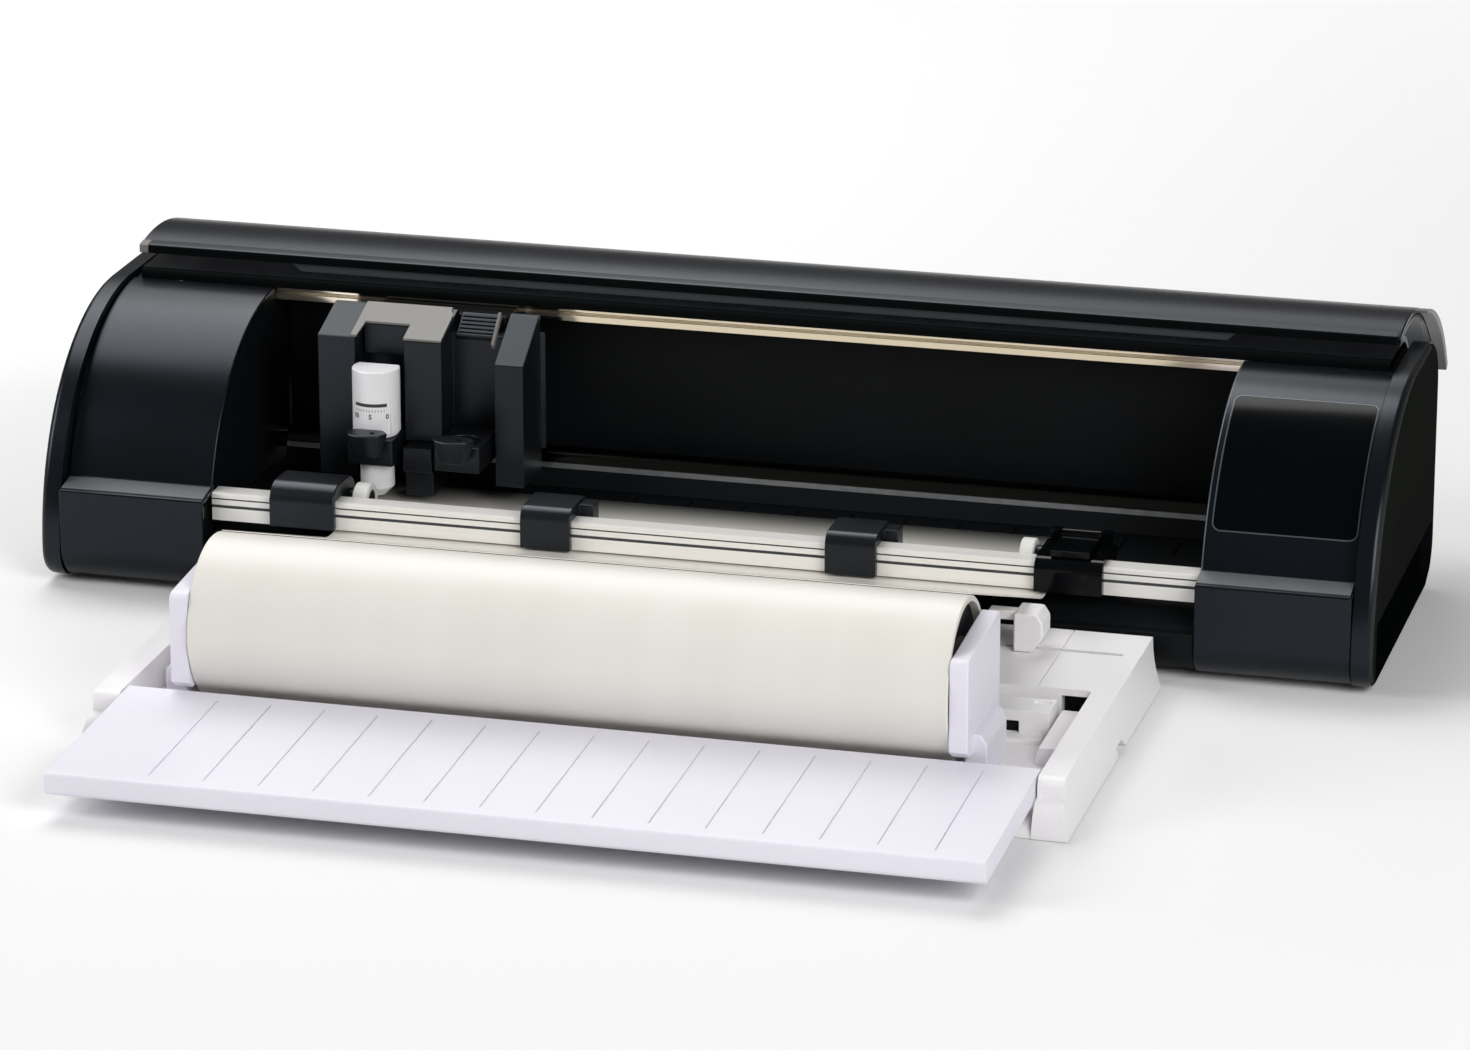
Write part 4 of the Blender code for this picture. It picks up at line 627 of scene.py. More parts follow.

# end panels: thick shields with a rolled rim and a hand recess in painted shade
panel = {"inner": 339.3, "outer": 350, "arc": 117, "frontY": 0.5, "backY": 194, "top": 136.5, "bottom": 2,
         "back": 28, "heel": 24, "toe": 17, "rim": 3.6, "edge": 0.5, "recessDepth": 5.5, "recessY": (13, 186),
         "recessZ": (4.6, 35.5), "recessRounds": (3, 12, 4, 3), "faceOn": 0.6}
panelArc = (panel["frontY"] + panel["arc"], panel["top"] - panel["arc"])
panelPath = rounded(arcOf(panelArc, panel["arc"], -90, 0, 40) + [
    (panel["backY"], panel["top"], panel["back"]), (panel["backY"], panel["bottom"], panel["heel"]),
    (panel["frontY"], panel["bottom"], panel["toe"])], 10)
recessCorners = oblong(*panel["recessY"], *panel["recessZ"])
recessPath = rounded([(*spot, radius) for spot, radius in zip(recessCorners, panel["recessRounds"])], 5)


def panelFinish(x, y, z, normal):
    (y0, y1), (z0, z1) = panel["recessY"], panel["recessZ"]
    if panel["inner"] + 1 < abs(x) < panel["outer"] - 1 and y0 < y < y1 and z0 < z < z1:
        return 2
    return 0 if normal.x * x > panel["faceOn"] * abs(x) else 1


for side, name in sides:
    panelShape = prism(panelPath, "x", *span(side, panel["inner"], panel["outer"]))
    rim = [e for e in panelShape.edges if all(abs(v.co.x) > (panel["outer"] - 0.1) * mm for v in e.verts)]
    rimmed(panelShape, rim, panel["rim"], 5)
    recess = prism(recessPath, "x", *span(side, panel["outer"] - panel["recessDepth"], panel["outer"] + 4))
    panelShape = painted(eased(carved(panelShape, [recess]), panel["edge"], 2, 50), panelFinish)
    standIn(panelShape, name + "_end_panel", ["etchedAbs", "glossAbs", "paintedShadeAbs"], angle=33)
print("covers and end panels done")

# the lid's finger grip: a shallow band whose ends are slanted, and its paler lining
grip = {"slant": 1.1, "edge": 0.4, "liningY": (133.3, 134.4), "liningEdge": 0.3,
        "lining": [(-256, 146), (256, 146), (249, 140.2), (-249, 140.2)]}
gripShape = nodeCopy("lid_grip")
gripTop = max(v.co.z for v in gripShape.verts)
for v in gripShape.verts:
    v.co.x -= (1 if v.co.x > 0 else -1) * grip["slant"] * (gripTop - v.co.z)
standIn(eased(gripShape, grip["edge"]), "lid_grip", "matteAbs")
liningShape = eased(prism(grip["lining"], "y", *grip["liningY"]), grip["liningEdge"])
keep(liningShape, "gripLining", "lid", "slateAbs")

# the lid's rolled front lip, whose down-facing front is in painted shade, and whose left end is a separate pale cap, a
# painted highlight
lid = {"centre": (160.0, 40.95), "half": 338.7, "front": -14.5, "back": 55, "flange": (335.3, 338.7),
       "flangeRadii": (108.2, 106.5), "lipCap": 5, "lipShort": 1.5, "lipFace": -0.8,
       "lip": [(137.6, 150.35), (132.4, 149.75), (131.4, 149.45), (130.9, 148.9), (130.9, 144.9), (132.2, 144.9),
               (133.2, 145.9), (137.4, 148.6)]}
lipFrom = -lid["half"] + lid["lipCap"]
lipShape = eased(prism(lid["lip"], "x", lipFrom, lid["half"] - lid["lipShort"]), 0.2, 2, 24)
painted(lipShape, lambda x, y, z, normal: normal.y < lid["lipFace"])
keep(lipShape, "lidLip", "lid", ["glossAbs", "paintedShadeAbs"], (), 50)
lipEnd = eased(prism(lid["lip"], "x", -lid["half"], lipFrom), 0.9, 3, 24)
keep(lipEnd, "lidLipEnd", "lid", "warmGreyPaint", (), 50)

# the lid's side flanges, and the end bands that pass just over the panels' rims
band = {"x": (338.9, 345.4), "from": {"left": 30, "right": 8}, "to": 58, "full": 32, "outer": 111.3, "inner": 106.4,
        "thin": 110.2, "steps": 8}
outerRadius, innerRadius = lid["flangeRadii"]
flangePath = arcOf(lid["centre"], outerRadius, lid["front"], lid["back"], 30)
flangePath += arcOf(lid["centre"], innerRadius, lid["back"], lid["front"], 30)
for side, name in sides:
    flangeShape = eased(prism(flangePath, "x", *span(side, *lid["flange"])), 0.4, 2, 50)
    standIn(flangeShape, "lid_" + name + "_rim", "glossAbs", name + "LidFlange")
    bandFrom = band["from"][name]
    bandPath = arcOf(lid["centre"], band["outer"], bandFrom, band["to"], 24)
    bandPath += arcOf(lid["centre"], band["inner"], band["to"], band["full"], 14)
    for k in range(1, band["steps"] + 1):
        # it thins towards the front, where it passes over the panel's rim
        radius = band["inner"] + (band["thin"] - band["inner"]) * k / band["steps"]
        bandPath += arcOf(lid["centre"], radius, band["full"] + (bandFrom - band["full"]) * k / band["steps"], 0, 1)[:1]
    bandShape = eased(prism(bandPath, "x", *span(side, *band["x"])), 0.8, 3, 50)
    keep(bandShape, name + "LidBand", "lid", "greyLacquer")

# touch glass with round corners and a thin printed line along its edge
touch = {"x": (263.6, 337.0), "turn": (-62.7, -20.5), "corner": 4.5, "line": 0.55, "proud": 0.25, "sunk": 0.8,
         "lineOver": -0.2, "lineLow": -0.4, "lineTop": 0.1, "maskZ": (60, 140), "slack": 2, "facet": 3}
(x0, x1), (low, high) = touch["x"], touch["turn"]
touchRadius = covers["radius"] + touch["proud"]
touchHalf = touchRadius * sin(radians((high - low) / 2))
glassPath = arcOf(covers["arc"], touchRadius, low, high, 40)
glassPath += arcOf(covers["arc"], covers["radius"] - touch["sunk"], high, low, 40)
maskPath = rounded([(*spot, touch["corner"]) for spot in oblong(x0, x1, -touchHalf, touchHalf)], 8)
maskShape = turned(prism(maskPath, "z", *touch["maskZ"]), -(low + high) / 2, "X", (0, *covers["arc"]))
glassShape = carved(prism(glassPath, "x", x0 - touch["slack"], x1 + touch["slack"]), [maskShape], "INTERSECT")
standIn(glassShape, "touch_panel", "touchGlass", "touchGlass", 33)


def touchLoop(bm, inset, lift):
    # a loop along the glass's edge, given as how far in from it and how far above the surface
    (x0, x1), (s0, s1) = touch["x"], (radians(turn) * touchRadius for turn in touch["turn"])
    corners = oblong(x0 + inset, x1 - inset, s0 + inset, s1 - inset)
    flat = rounded([(*spot, touch["corner"] - inset) for spot in corners], 8)
    loop = []
    for (xa, sa), (xb, sb) in zip(flat, flat[1:] + flat[:1]):
        cuts = max(1, int(abs(sb - sa) / touch["facet"]))
        for k in range(cuts):
            a = (sa + (sb - sa) * k / cuts) / touchRadius
            y, z = (c + (touchRadius + lift) * f(a) for c, f in zip(covers["arc"], (sin, cos)))
            loop.append(bm.verts.new(at(xa + (xb - xa) * k / cuts, y, z)))
    return loop


lineShape = bmesh.new()
over, low, high, line = touch["lineOver"], touch["lineLow"], touch["lineTop"], touch["line"]
lineLoops = [touchLoop(lineShape, *spot) for spot in ((over, low), (over, high), (line, high), (line, low))]
skin(lineShape, lineLoops + lineLoops[:1])
keep(outward(lineShape), "touchLine", "machine", "edgeLine")
print("lid and touch panel done")

# front apron with a moulded joint line
apron = {"edge": 0.6, "joint": ((228.15, 228.65), (-3, 2.6), (1, 30))}
apronShape = carved(eased(nodeCopy("front_apron"), apron["edge"]), pairOf(*apron["joint"]))
standIn(apronShape, "front_apron", "matteAbs")

# drawn rail behind the carriage: a broad band and a thin bead with a groove between
rail = {"edge": 0.3, "face": [(0, 0), (0, 3.6), (1.2, 3.9), (1.2, 4.7), (0.2, 5.0)], "beadBack": 0.2}
railLow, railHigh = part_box("carriage_rail")
y0, y1, z0, z1 = (railLow.y - frontY) / mm, (railHigh.y - frontY) / mm, railLow.z / mm, railHigh.z / mm
railPath = [(y0 + y, z0 + z) for y, z in rail["face"]] + [(y0 + rail["beadBack"], z1), (y1, z1), (y1, z0)]
railShape = eased(prism(railPath, "x", -railHigh.x / mm, railHigh.x / mm), rail["edge"])
standIn(railShape, "carriage_rail", "warmRail")
print("apron and rail done")

# feeder flap: a thin table with fifteen moulded lines; its edges are y and z
flap = {"edge": 1.6, "lines": 15, "firstX": -178, "pitch": 27.1, "lineY": (-312, -213), "width": 0.9, "depth": 0.7,
        "front": (-321, 22.6), "back": (-203, 26)}
(frontEdge, lowZ), (backEdge, highZ) = flap["front"], flap["back"]
slope = (highZ - lowZ) / (backEdge - frontEdge)
middleY = sum(flap["lineY"]) / 2
flapPiece = grooved(
    eased(nodeCopy("feeder_flap"), flap["edge"], 3), "feederFlap", flap["lines"],
    (flap["firstX"], middleY, lowZ + (middleY - frontEdge) * slope), (flap["pitch"], 0, 0),
    (flap["width"], flap["lineY"][1] - flap["lineY"][0], flap["depth"] * 2), "lilacAbs", atan2(slope, 1))
standIn(flapPiece, "feeder_flap", "lilacAbs")

# feeder base: a deck with two flared side rails, each with a round nose under the flap's hinge
base = {"half": 241, "rail": 228, "backY": -5.9, "frontY": -215.6, "bayY": -92, "top": 26, "topRound": 4.5,
        "nose": 13.4, "noseTop": 16, "flare": 4.6, "edge": 0.8, "slot": ((-196, 232), (-38.4, -35), (13, 30)),
        "seams": ((200.9, 201.5), ((-94, -39.4), (-34, -3.9)), (25.3, 30)),
        "pocket": ((213, 227), (-97, -78), (9, 22.5)), "notchX": (238, 250),
        "notch": [(-92, -1), (-97, 4.5), (-110, 4.5), (-110, -1)], "lap": 0.6,
        "floor": (0.02, 8), "floorNose": (0.97, 7.7),
        "levels": (1, 2.5, 4.5, 7, 9.5, 11.5, 13.5, 15, 15.8, 16, 19, 21.5, 22.5, 23.5, 24.5, 25.3)}
half, inner, back, front, bay = (base[k] for k in ("half", "rail", "backY", "frontY", "bayY"))
top, topRound = base["top"], base["topRound"]
baseShape = prism([(-half, back), (half, back), (half, front), (inner, front), (inner, bay), (-inner, bay),
                   (-inner, front), (-half, front)], "z", 0, top)
for level in base["levels"]:
    everything = baseShape.verts[:] + baseShape.edges[:] + baseShape.faces[:]
    bmesh.ops.bisect_plane(baseShape, geom=everything, plane_co=at(0, 0, level), plane_no=(0, 0, 1))
for v in baseShape.verts:
    z = v.co.z / mm
    if abs(v.co.x) > (half - 0.5) * mm:
        v.co.x += (1 if v.co.x > 0 else -1) * base["flare"] * mm * (1 - z / top) ** 2
    if v.co.y < at(0, front + 1, 0).y:
        rise = max(0, z - top + topRound)
        v.co.y += (topRound - max(0, topRound ** 2 - rise ** 2) ** 0.5) * mm
        v.co.y -= base["nose"] * mm * max(0, 1 - (z / base["noseTop"]) ** 2) ** 0.5
# the bay's floor ends in a nose a little inside that of the rails
(low, high), (noseShare, noseHigh) = base["floor"], base["floorNose"]
floorPath = [(bay + 2, low), (bay + 2, high), (front + 4, high)]
floorPath += [(front - base["nose"] * noseShare * sin(radians(a)), low + noseHigh * cos(radians(a)))
              for a in range(0, 91, 10)]
bayFloor = prism(floorPath, "x", -inner - base["lap"], inner + base["lap"])
baseShape = carved(baseShape, [bayFloor], "UNION")
(seamX, seamYs, seamZ), (pocketX, pocketY, pocketZ) = base["seams"], base["pocket"]
baseCuts = [block(*base["slot"])]
for side in (-1, 1):
    baseCuts += [block(span(side, *seamX), seamY, seamZ) for seamY in seamYs]
    baseCuts.append(block(span(side, *pocketX), pocketY, pocketZ))
    baseCuts.append(prism(base["notch"], "x", *span(side, *base["notchX"])))
baseShape = eased(carved(baseShape, baseCuts), base["edge"], 2, 42)
standIn(baseShape, "feeder_base", "whiteAbs")

# the bar the roll guides slide along: notched on top, with a window near each end
guideBar = {"box": ((-212, 212), (-116, -96), (7.5, 21.5)), "notch": ((202, 210), (-103, -99), (19.5, 30)),
            "window": ((190, 197), (-120, -110), (10, 16)), "edge": 0.6}
guideShape = carved(block(*guideBar["box"]), pairOf(*guideBar["notch"]) + pairOf(*guideBar["window"]))
standIn(eased(guideShape, guideBar["edge"]), "guide_rail", "whiteAbs", "guideBar")

# the bay's side steps, undercut towards the middle
bayStep = {"x": (214.5, 228.4), "y": (-152, -97), "z": (7.5, 17), "edge": 0.9, "undercut": 2.5, "lowTo": 10,
           "inTo": 220}
for side, name in sides:
    stepShape = block(span(side, *bayStep["x"]), bayStep["y"], bayStep["z"])
    for v in stepShape.verts:
        if v.co.z < bayStep["lowTo"] * mm and abs(v.co.x) < bayStep["inTo"] * mm:
            v.co.x -= side * bayStep["undercut"] * mm
    keep(eased(stepShape, bayStep["edge"]), name + "BayStep", "machine", "whiteAbs")

# plain blocks: x, y and z, edge, finish, slot and body
blocks = {
    # a dark liner in the cutter's slot as painted shade, a ledge before the bar, and a panel behind the tool's cap
    "slotLiner": ((-195.8, 231.8), (-38.2, -35.2), (12.5, 24.2), 0.3, "slateAbs", "charcoal", "machine"),
    "guideLedge": ((-210, 210), (-125, -115), (7.5, 10.2), 0.5, "whiteAbs", "white", "machine"),
    "capPanel": ((-200.4, -174.9), (90.4, 98.4), (111.5, 127.6), 0.6, "satinAbs", "charcoal", "carriage"),
}
for side, name in sides:
    # painted shade: dark blocks behind the bar's windows and in the bay's pockets
    dark = ("matteAbs", "satin_black", "machine")
    blocks[name + "BarDark"] = (span(side, 190.1, 196.9), (-113.5, -110.2), (10.1, 15.9), 0.2, *dark)
    blocks[name + "BayDark"] = (span(side, 212, 227.5), (-84, -80), (8.6, 23), 0.3, *dark)
for name, (x, y, z, edge, look, slot, body) in blocks.items():
    keep(eased(block(x, y, z), edge), name, body, look)
print("feeder base and flap done")

# sheet cutter that runs along the slot: a rounded shoe with an arm and a line across its top
cutter = {"path": [(178.5, 26.3), (187.8, 26.3), (193.3, 33.8), (193.3, 41.5), (190.3, 46), (178.5, 46)],
          "y": (-46, -27), "edge": 1.1, "arm": ((164.5, 181.5), (-40.5, -33.5), (40.5, 45.4)), "armEdge": 0.9,
          "line": ((177.5, 194.3), (-34.4, -33.8), (45.5, 48))}
cutterShape = eased(prism(cutter["path"], "y", *cutter["y"]), cutter["edge"], 3, 25)
cutterShape = carved(cutterShape, [eased(block(*cutter["arm"]), cutter["armEdge"], 3)], "UNION")
cutterShape = carved(cutterShape, [block(*cutter["line"])])
standIn(cutterShape, "cross_cutter", "whiteAbs")

# the wound roll: film outside, a thin wound edge and dark end plugs
# profiles are radius and place along x, those of plugs and hubs outward from the face that they sit on
roll = {"film": [(37.2, -194.1), (39.5, -194.1), (40, -193.6), (40, 182.4), (39.5, 182.9), (37.2, 182.9)],
        "plugFaces": (-190.1, 178.9), "endFrom": 0.9,
        "plug": [(20.6, 0), (23.6, 0.8), (31.2, 0.8), (34.2, 0), (37.2, 0), (37.2, -6), (20.6, -6)]}
rollCentre = (0, *rollAxis)
rollShape = painted(lathe(roll["film"], rollCentre, "x", 128, True),
                    lambda x, y, z, normal: abs(normal.x) > roll["endFrom"])
standIn(rollShape, "media_roll", ["vinylFilm", "woundEnd"])
for (side, name), face in zip(sides, roll["plugFaces"]):
    plugProfile = [(radius, face + side * out) for radius, out in roll["plug"]]
    keep(lathe(plugProfile, rollCentre, "x", 72, True), name + "RollPlug", "media_roll", "matteAbs")

# roll guides: rounded plates that lean down to the front, with a foot outside and a slider on the bar
guide = {"faces": (-194.4, 183.2), "thick": 9.3, "edge": 1.6, "sliderOut": (1.5, 8.1), "sliderEdge": 0.5,
         "plate": [(-201.6, 27, 1), (-208, 31.4, 1), (-208, 76.6, 5), (-138.5, 80.6, 3), (-138.5, 27, 1)],
         "foot": [(5.3, 8.4), (13.6, 8.4), (16.1, 16.4), (16.1, 32), (13.1, 37), (5.3, 37)], "footY": (-196, -153.2),
         "footEdge": 0.8, "sliderY": (-152, -139.5), "sliderZ": (8.6, 28.5),
         "hub": [(0, 0.5), (17.6, 0.5), (17.6, -7.2), (16.8, -8), (0, -8)]}
for (side, name), face in zip(sides, guide["faces"]):
    plateX, sliderX = (sorted(face + side * out for out in pair) for pair in ((0, guide["thick"]), guide["sliderOut"]))
    plateShape = eased(prism(rounded(guide["plate"], 6), "x", *plateX), guide["edge"], 3, 50)
    footPath = [(face + side * out, z) for out, z in guide["foot"]]
    footShape = eased(prism(footPath, "y", *guide["footY"]), guide["footEdge"], 3, 25)
    sliderShape = eased(block(sliderX, guide["sliderY"], guide["sliderZ"]), guide["sliderEdge"])
    hubShape = lathe([(radius, face + side * out) for radius, out in guide["hub"]], rollCentre, "x", 48)
    guideShape = carved(plateShape, [footShape, sliderShape, hubShape], "UNION")
    standIn(guideShape, name + "_roll_guide", "lilacAbs")
print("roll and guides done")

# depth cap of the cutting tool: a D-shaped sleeve with a gauge slot, a scale and an index rib
cap = {"x": -188.15, "y": 72, "radius": 12.5, "flat": 6, "z": (76, 110.4), "edge": 0.8, "topEdge": 3.0,
       "slotZ": 92.5, "slotHigh": 1.9, "slotHalf": 44, "slotDeep": 0.8, "inkDeep": (0.75, 0.35), "ticks": 11,
       "tickZ": 89.6, "tickHalf": 36, "tick": (0.28, 0.16, 1.3), "numbers": {"10": -38, "5": 2, "0": 44},
       "numberZ": 85.2, "numberHigh": 3.6, "inkHigh": 0.08, "inkSpread": 0.09, "clear": 3, "wedge": 30,
       "ribAngle": 56, "ribHalf": 0.8, "ribSunk": 0.5, "ribZ": (77, 96)}
radius, flat, (capLow, capHigh) = cap["radius"], cap["flat"], cap["z"]


def onCap(reach, angle):
    # x and y at a distance from the cap's axis, in degrees from its front towards the right
    return cap["x"] + reach * sin(radians(angle)), cap["y"] - reach * cos(radians(angle))


turns = [2 * pi * k / 96 for k in range(96)]
capRing = {(round(cap["x"] + radius * cos(a), 4), round(cap["y"] + radius * sin(a), 4))
           for a in turns if radius * sin(a) <= flat + 1e-6}
flatHalf = (radius ** 2 - flat ** 2) ** 0.5
capRing |= {(round(cap["x"] + s * flatHalf, 4), cap["y"] + flat) for s in (-1, 1)}
capRing = sorted(capRing, key=lambda p: atan2(p[1] - cap["y"], p[0] - cap["x"]))
capShape = prism(capRing, "z", capLow, capHigh)
topEdges = [e for e in capShape.edges if all(v.co.z > (capHigh - 0.1) * mm for v in e.verts)]
capShape = eased(rimmed(capShape, topEdges, cap["topEdge"], 5), cap["edge"], 3, 50)
slotLow, slotTop = (cap["slotZ"] + s * cap["slotHigh"] / 2 for s in (-1, 1))
slotProfile = oblong(radius - cap["slotDeep"], radius + cap["clear"], slotLow, slotTop)
slotRing = lathe(slotProfile, (cap["x"], cap["y"], 0), "z", 96, True)
wedgePath = [onCap(0, 0)] + [onCap(cap["wedge"], a) for a in range(-cap["slotHalf"], cap["slotHalf"] + 1, 8)]
slotWedge = prism(wedgePath, "z", cap["slotZ"] - cap["clear"], cap["slotZ"] + cap["clear"])
capShape = carved(capShape, [carved(slotRing, [slotWedge], "INTERSECT")])
standIn(capShape, "depth_cap", "whiteAcetal")
inkShape = bmesh.new()
inkProfile = oblong(*(radius - deep for deep in cap["inkDeep"]), slotLow, slotTop)
inkRings = [[inkShape.verts.new(at(*onCap(r, a), z)) for r, z in inkProfile]
            for a in range(-cap["slotHalf"], cap["slotHalf"] + 1, 4)]
skin(inkShape, inkRings)
for ring in (inkRings[0], inkRings[-1]):
    inkShape.faces.new(ring)
keep(outward(inkShape), "gaugeSlot", "depth_setting", "darkInk")
tickPiece = grown(bmesh.new(), "scaleTicks", markArc, {
    "Count": cap["ticks"], "Radius": radius * mm, "From": radians(-90 - cap["tickHalf"]),
    "Sweep": radians(2 * cap["tickHalf"]), "Mark": tuple(k * mm for k in cap["tick"]),
    "Place": at(cap["x"], cap["y"], cap["tickZ"]), "Finish": finish["darkInk"]})
keep(tickPiece, "scaleTicks", "depth_setting", "darkInk")
for text, angle in cap["numbers"].items():
    letters = bpy.data.curves.new("scale" + text, "FONT")
    letters.body = text
    letters.size = cap["numberHigh"] * mm
    letters.extrude = cap["inkHigh"] * mm
    letters.offset = cap["inkSpread"] * mm
    letters.align_x = "CENTER"
    letters.resolution_u = 3
    number = linked("scale" + text, letters)
    bpy.context.view_layer.update()
    numberMesh = bpy.data.meshes.new_from_object(number.evaluated_get(bpy.context.evaluated_depsgraph_get()))
    bpy.data.objects.remove(number)
    turn = Matrix.Rotation(radians(angle), 4, "Z") @ Matrix.Rotation(radians(90), 4, "X")
    numberMesh.transform(Matrix.Translation(at(*onCap(radius, angle), cap["numberZ"])) @ turn)
    keep(linked("scale" + text, numberMesh), "scale" + text, "depth_setting", "darkInk")
ribHalf = cap["ribHalf"]
ribShape = block((-ribHalf, ribHalf), (-radius - ribHalf, -radius + cap["ribSunk"]), cap["ribZ"])
ribShape = turned(ribShape, cap["ribAngle"], "Z", (cap["x"], cap["y"], 0))
keep(eased(ribShape, 0.3), "indexRib", "depth_setting", "whiteAcetal")
print("cutting tool done")

# thumb levers that lock the tools: wide hooked tops that narrow below
thumb = {"centres": (-188.15, -140.95), "z": (67.2, 80), "edge": 0.9, "narrow": 15.5 / 23.4, "footFront": 49.7,
         "halfPlan": [(-7.7, 59.2), (-11.7, 54.2), (-8.7, 48.2), (-3, 45.7)],
         "hole": [(0, 76), (1.5, 76), (1.5, 83), (0, 83)], "holeX": 3.5, "holeY": 52.7}
thumbPlan = thumb["halfPlan"] + [(-x, y) for x, y in reversed(thumb["halfPlan"])]
for index, centre in enumerate(thumb["centres"], 1):
    thumbShape = prism([(centre + x, y) for x, y in thumbPlan], "z", *thumb["z"])
    for v in thumbShape.verts:
        if v.co.z < (thumb["z"][0] + 1) * mm:
            v.co.x = centre * mm + (v.co.x - centre * mm) * thumb["narrow"]
            v.co.y = max(v.co.y, at(0, thumb["footFront"], 0).y)
    hole = lathe(thumb["hole"], (centre + thumb["holeX"], thumb["holeY"], 0), "z", 24)
    thumbShape = carved(eased(thumbShape, thumb["edge"], 3), [hole])
    standIn(thumbShape, "lock_tab_" + str(index), "satinAbs", "lockLever" + str(index))

# pinch wheels: a white tyre on a black hub
wheels = {"left": {"tyre": (-188.2, -180.0), "hub": (-191.8, -180.4)},
          "right": {"tyre": (164.7, 172.0), "hub": (165.0, 175.8)}}
tyre = {"thick": 3.4, "round": 0.6, "dish": 1.2, "axle": 2.4}
for name, recipe in wheels.items():
    node = name + "_pinch_wheel"
    low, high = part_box(node)
    wheelCentre = (0, ((low.y + high.y) / 2 - frontY) / mm, (low.z + high.z) / 2 / mm)
    wheel = (high.z - low.z) / 2 / mm
    inner, shoulder = wheel - tyre["thick"], wheel - tyre["round"]
    x0, x1 = recipe["tyre"]
    tyreProfile = [(inner, x0), (shoulder, x0), (wheel, x0 + tyre["round"]), (wheel, x1 - tyre["round"]),
                   (shoulder, x1), (inner, x1)]
    standIn(lathe(tyreProfile, wheelCentre, "x", 56, True), node, "whiteTyre", name + "PinchTyre")
    x0, x1 = recipe["hub"]
    dish = x1 - tyre["dish"]
    hubProfile = [(0, x0), (inner, x0), (inner, x1), (wheel - 4.2, x1), (wheel - 4.8, dish), (tyre["axle"], dish),
                  (tyre["axle"] - 0.2, x1 - 0.2), (0, x1 - 0.2)]
    keep(lathe(hubProfile, wheelCentre, "x", 48), name + "PinchHub", bodyOf[node], "satinAbs")
print("levers and pinch wheels done")

# platen with cross slots under the carriage's path
platen = {"edge": 0.3, "slots": 17, "first": (-232, 103, 36.85), "pitch": 29, "slot": (1.6, 26, 3.2)}
platenPiece = grooved(eased(nodeCopy("platen"), platen["edge"]), "platenBed", platen["slots"], platen["first"],
                      (platen["pitch"], 0, 0), platen["slot"], "matteAbs")
standIn(platenPiece, "platen", "matteAbs", "platenBed")

# carriage body: the right pillar is drawn in a little, and the two outer pillars' up-facing roofs are lighter slate, a
# painted light
carriage = {"edge": 0.7, "drawnIn": 3.0, "pillarX": (-128.5, -109.5), "pillarBack": 111.5, "roofFrom": 115,
            "leftRoof": -201.5, "rightRoof": -128.5}
bodyShape = nodeCopy("carriage_body")
pillarLeft, pillarRight = (x * mm for x in carriage["pillarX"])
for v in bodyShape.verts:
    if v.co.x > pillarLeft and v.co.y < frontY + carriage["pillarBack"] * mm:
        v.co.x += (-carriage["drawnIn"] if v.co.x > pillarRight else carriage["drawnIn"] * 0.6) * mm


def onOuterRoof(x, y, z, normal):
    outer = x < carriage["leftRoof"] or x > carriage["rightRoof"]
    return normal.z > 0.3 and z > carriage["roofFrom"] and outer


bodyShape = painted(eased(bodyShape, carriage["edge"]), onOuterRoof)
standIn(bodyShape, "carriage_body", ["satinAbs", "slateAbs"])

# a ribbed vent closes the carriage's empty bay
vent = {"x": (-152.4, -131.2), "path": [(99, 117), (97.5, 122.5), (110.5, 131.5), (112, 131.5), (112, 117)],
        "ribs": 5, "first": (99.6, 124.0), "step": (0, 2.2, 1.55), "rib": (19.5, 1.0, 2.6)}
ventPiece = grooved(eased(prism(vent["path"], "x", *vent["x"]), 0.4), "bayVent", vent["ribs"],
                    (sum(vent["x"]) / 2, *vent["first"]), vent["step"], vent["rib"], "satinAbs")
keep(ventPiece, "bayVent", "carriage", "glossAbs")

# the grey roof plate: a thin sheet that lies on the slope, notched over the first tool
plate = {"plan": [(-203.8, 77.5), (-200.4, 77.5), (-199.2, 90.2), (-175.0, 90.2), (-175.0, 77.5), (-154.4, 77.5),
                  (-154.8, 101.9), (-156.8, 105.4), (-156.8, 107.9), (-203.8, 107.9)],
         "thick": 1.2, "front": 77.5, "low": 123.75, "slope": (134.43 - 124.9) / (107.5 - 77.55), "edge": 0.3}
plateShape = prism(plate["plan"], "z", 0, plate["thick"])
for v in plateShape.verts:
    v.co.z += (plate["low"] + ((v.co.y - frontY) / mm - plate["front"]) * plate["slope"]) * mm
standIn(eased(plateShape, plate["edge"]), "label_plate", "warmGreyPaint")

# grey blade beside the right pillar
blade = {"x": (-130.8, -129.0), "path": [(89.0, 121.6), (103.4, 135.2), (104.9, 132.6), (90.5, 119.0)], "edge": 0.35}
bladeShape = eased(prism(blade["path"], "x", *blade["x"]), blade["edge"])
keep(bladeShape, "carriageBlade", "carriage", "warmGreyPaint")

# left pinch housing: an arched saddle over the bar
saddle = {"x": (-227, -192), "edge": 0.8, "path": [(9.5, 39.2), (9.5, 62.2, 10), (46, 61.2, 11), (46, 40.4),
                                                    (26.3, 40.4), (26.3, 54), (13.7, 54), (13.7, 39.2)]}
saddleShape = eased(prism(rounded(saddle["path"], 10), "x", *saddle["x"]), saddle["edge"], 3, 45)
standIn(saddleShape, "left_pinch_housing", "satinAbs")
print("carriage trim done")

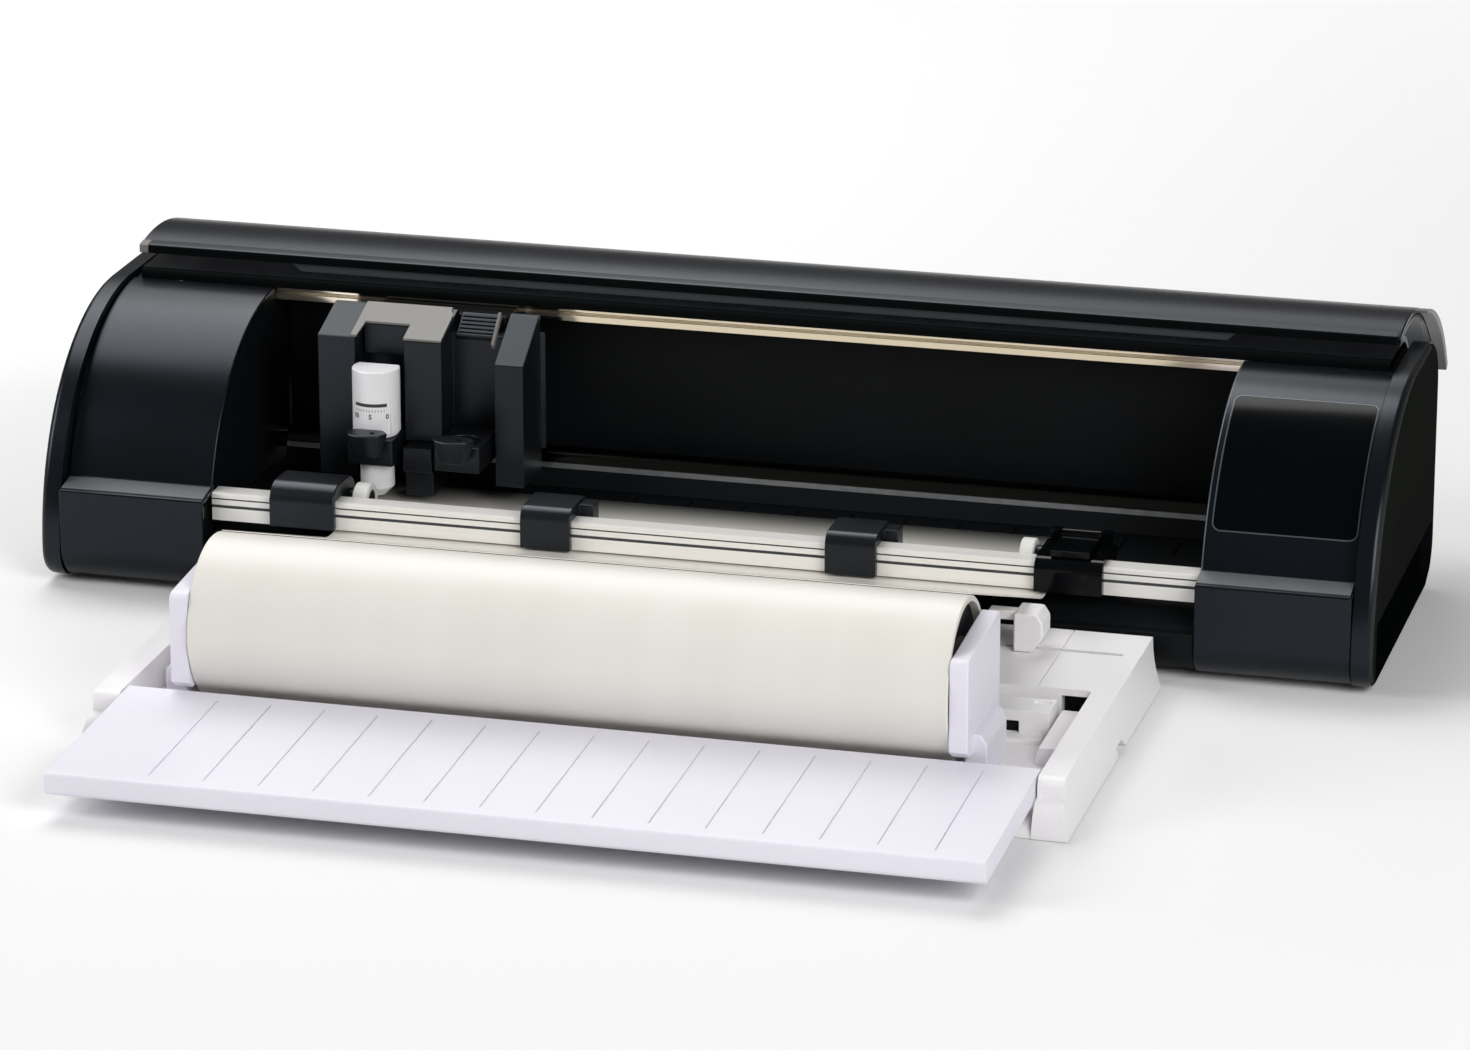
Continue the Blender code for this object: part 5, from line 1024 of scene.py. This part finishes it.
# a pale floor that runs out to white far from the part, for the eye and for reflections, and gives no light there
floor = {"half": 20, "drop": 0.0004, "colour": "#f0f0f0", "nearTo": 0.75, "whiteFrom": 2.2}
floorShape = bmesh.new()
bmesh.ops.create_grid(floorShape, x_segments=1, y_segments=1, size=floor["half"])
floorPiece = loose(floorShape, "studioFloor")
floorPiece.location.z = -floor["drop"]
floorMaterial, tree, shader = freshMaterial("paleFloor")
wire(tree, shader, {"Base Color": linear(floor["colour"]), "Roughness": 0.9, "Specular IOR Level": 0.0})
where = addNode(tree, "ShaderNodeTexCoord").outputs["Object"]
far = addNode(tree, "ShaderNodeVectorMath", {"operation": "LENGTH"}, {0: where}).outputs["Value"]
fade = addNode(tree, "ShaderNodeMapRange", {
    "interpolation_type": "SMOOTHSTEP", "From Min": floor["nearTo"], "From Max": floor["whiteFrom"]}, {"Value": far})
rays = addNode(tree, "ShaderNodeLightPath").outputs
eyeRays = addNode(tree, "ShaderNodeMath", {"operation": "ADD"}, {0: rays["Is Camera Ray"], 1: rays["Is Glossy Ray"]})
seenRays = addNode(tree, "ShaderNodeMath", {"operation": "ADD", "use_clamp": True},
                   {0: eyeRays, 1: rays["Is Transmission Ray"]})
share = addNode(tree, "ShaderNodeMath", {"operation": "MULTIPLY"}, {0: fade, 1: seenRays})
white = addNode(tree, "ShaderNodeEmission", {"Color": linear("#ffffff"), "Strength": 1.0})
surface = addNode(tree, "ShaderNodeMixShader", {}, {0: share, 1: shader, 2: white})
wire(tree, tree.nodes["Material Output"], {}, {"Surface": surface})
floorPiece.data.materials.append(floorMaterial)

# a dim, even surround
world = scene.world or bpy.data.worlds.new("studio")
scene.world = world
world.use_nodes = True
world.node_tree.nodes.clear()
surround = addNode(world.node_tree, "ShaderNodeBackground", {"Color": linear("#ffffff"), "Strength": 0.12})
addNode(world.node_tree, "ShaderNodeOutputWorld", {}, {"Surface": surround})

lamps = {
    # a broad softbox overhead, to the left and behind, facing down: the sheen on the covers' shoulders
    "topSoftbox": {"place": (-980, 1114, 2180), "turn": -39.3, "size": (1.6, 2.3), "power": 50},
    # a weaker one at the back: the glow along the lid's top
    "rearStrip": {"place": (-800, 2100, 1640), "aim": (0, 60, 120), "size": (2.4, 0.6), "power": 6.5},
    # two broad fills from the front, one at each side, out of the covers' reflections
    "rightFill": {"place": (1600, -1500, 1300), "aim": (0, -60, 40), "size": (1.4, 1.4), "power": 40},
    "leftFill": {"place": (-2300, -1150, 1400), "aim": (0, -60, 40), "size": (1.3, 1.3), "power": 32},
}
for name, recipe in lamps.items():
    light = bpy.data.lights.new(name, "AREA")
    light.shape = "RECTANGLE"
    light.size, light.size_y = recipe["size"]
    light.energy = recipe["power"]
    lamp = linked(name, light)
    lamp.location = at(*recipe["place"])
    if "turn" in recipe:
        lamp.rotation_euler = (0, 0, radians(recipe["turn"]))
    else:
        lamp.rotation_euler = (at(*recipe["aim"]) - lamp.location).to_track_quat("-Z", "Y").to_euler()

# the photo's camera: place in mm, tilt and turn in degrees
view = {"lens": 158.06, "sensor": 36, "place": (817.2, -2988.2, 1085.0), "tilt": 71.73, "turn": 14.86}
lens = bpy.data.cameras.new("camera")
lens.lens = view["lens"]
lens.sensor_width = view["sensor"]
camera = linked("camera", lens)
camera.location = at(*view["place"])
camera.rotation_euler = (radians(view["tilt"]), 0, radians(view["turn"]))
scene.camera = camera
print("stage set")
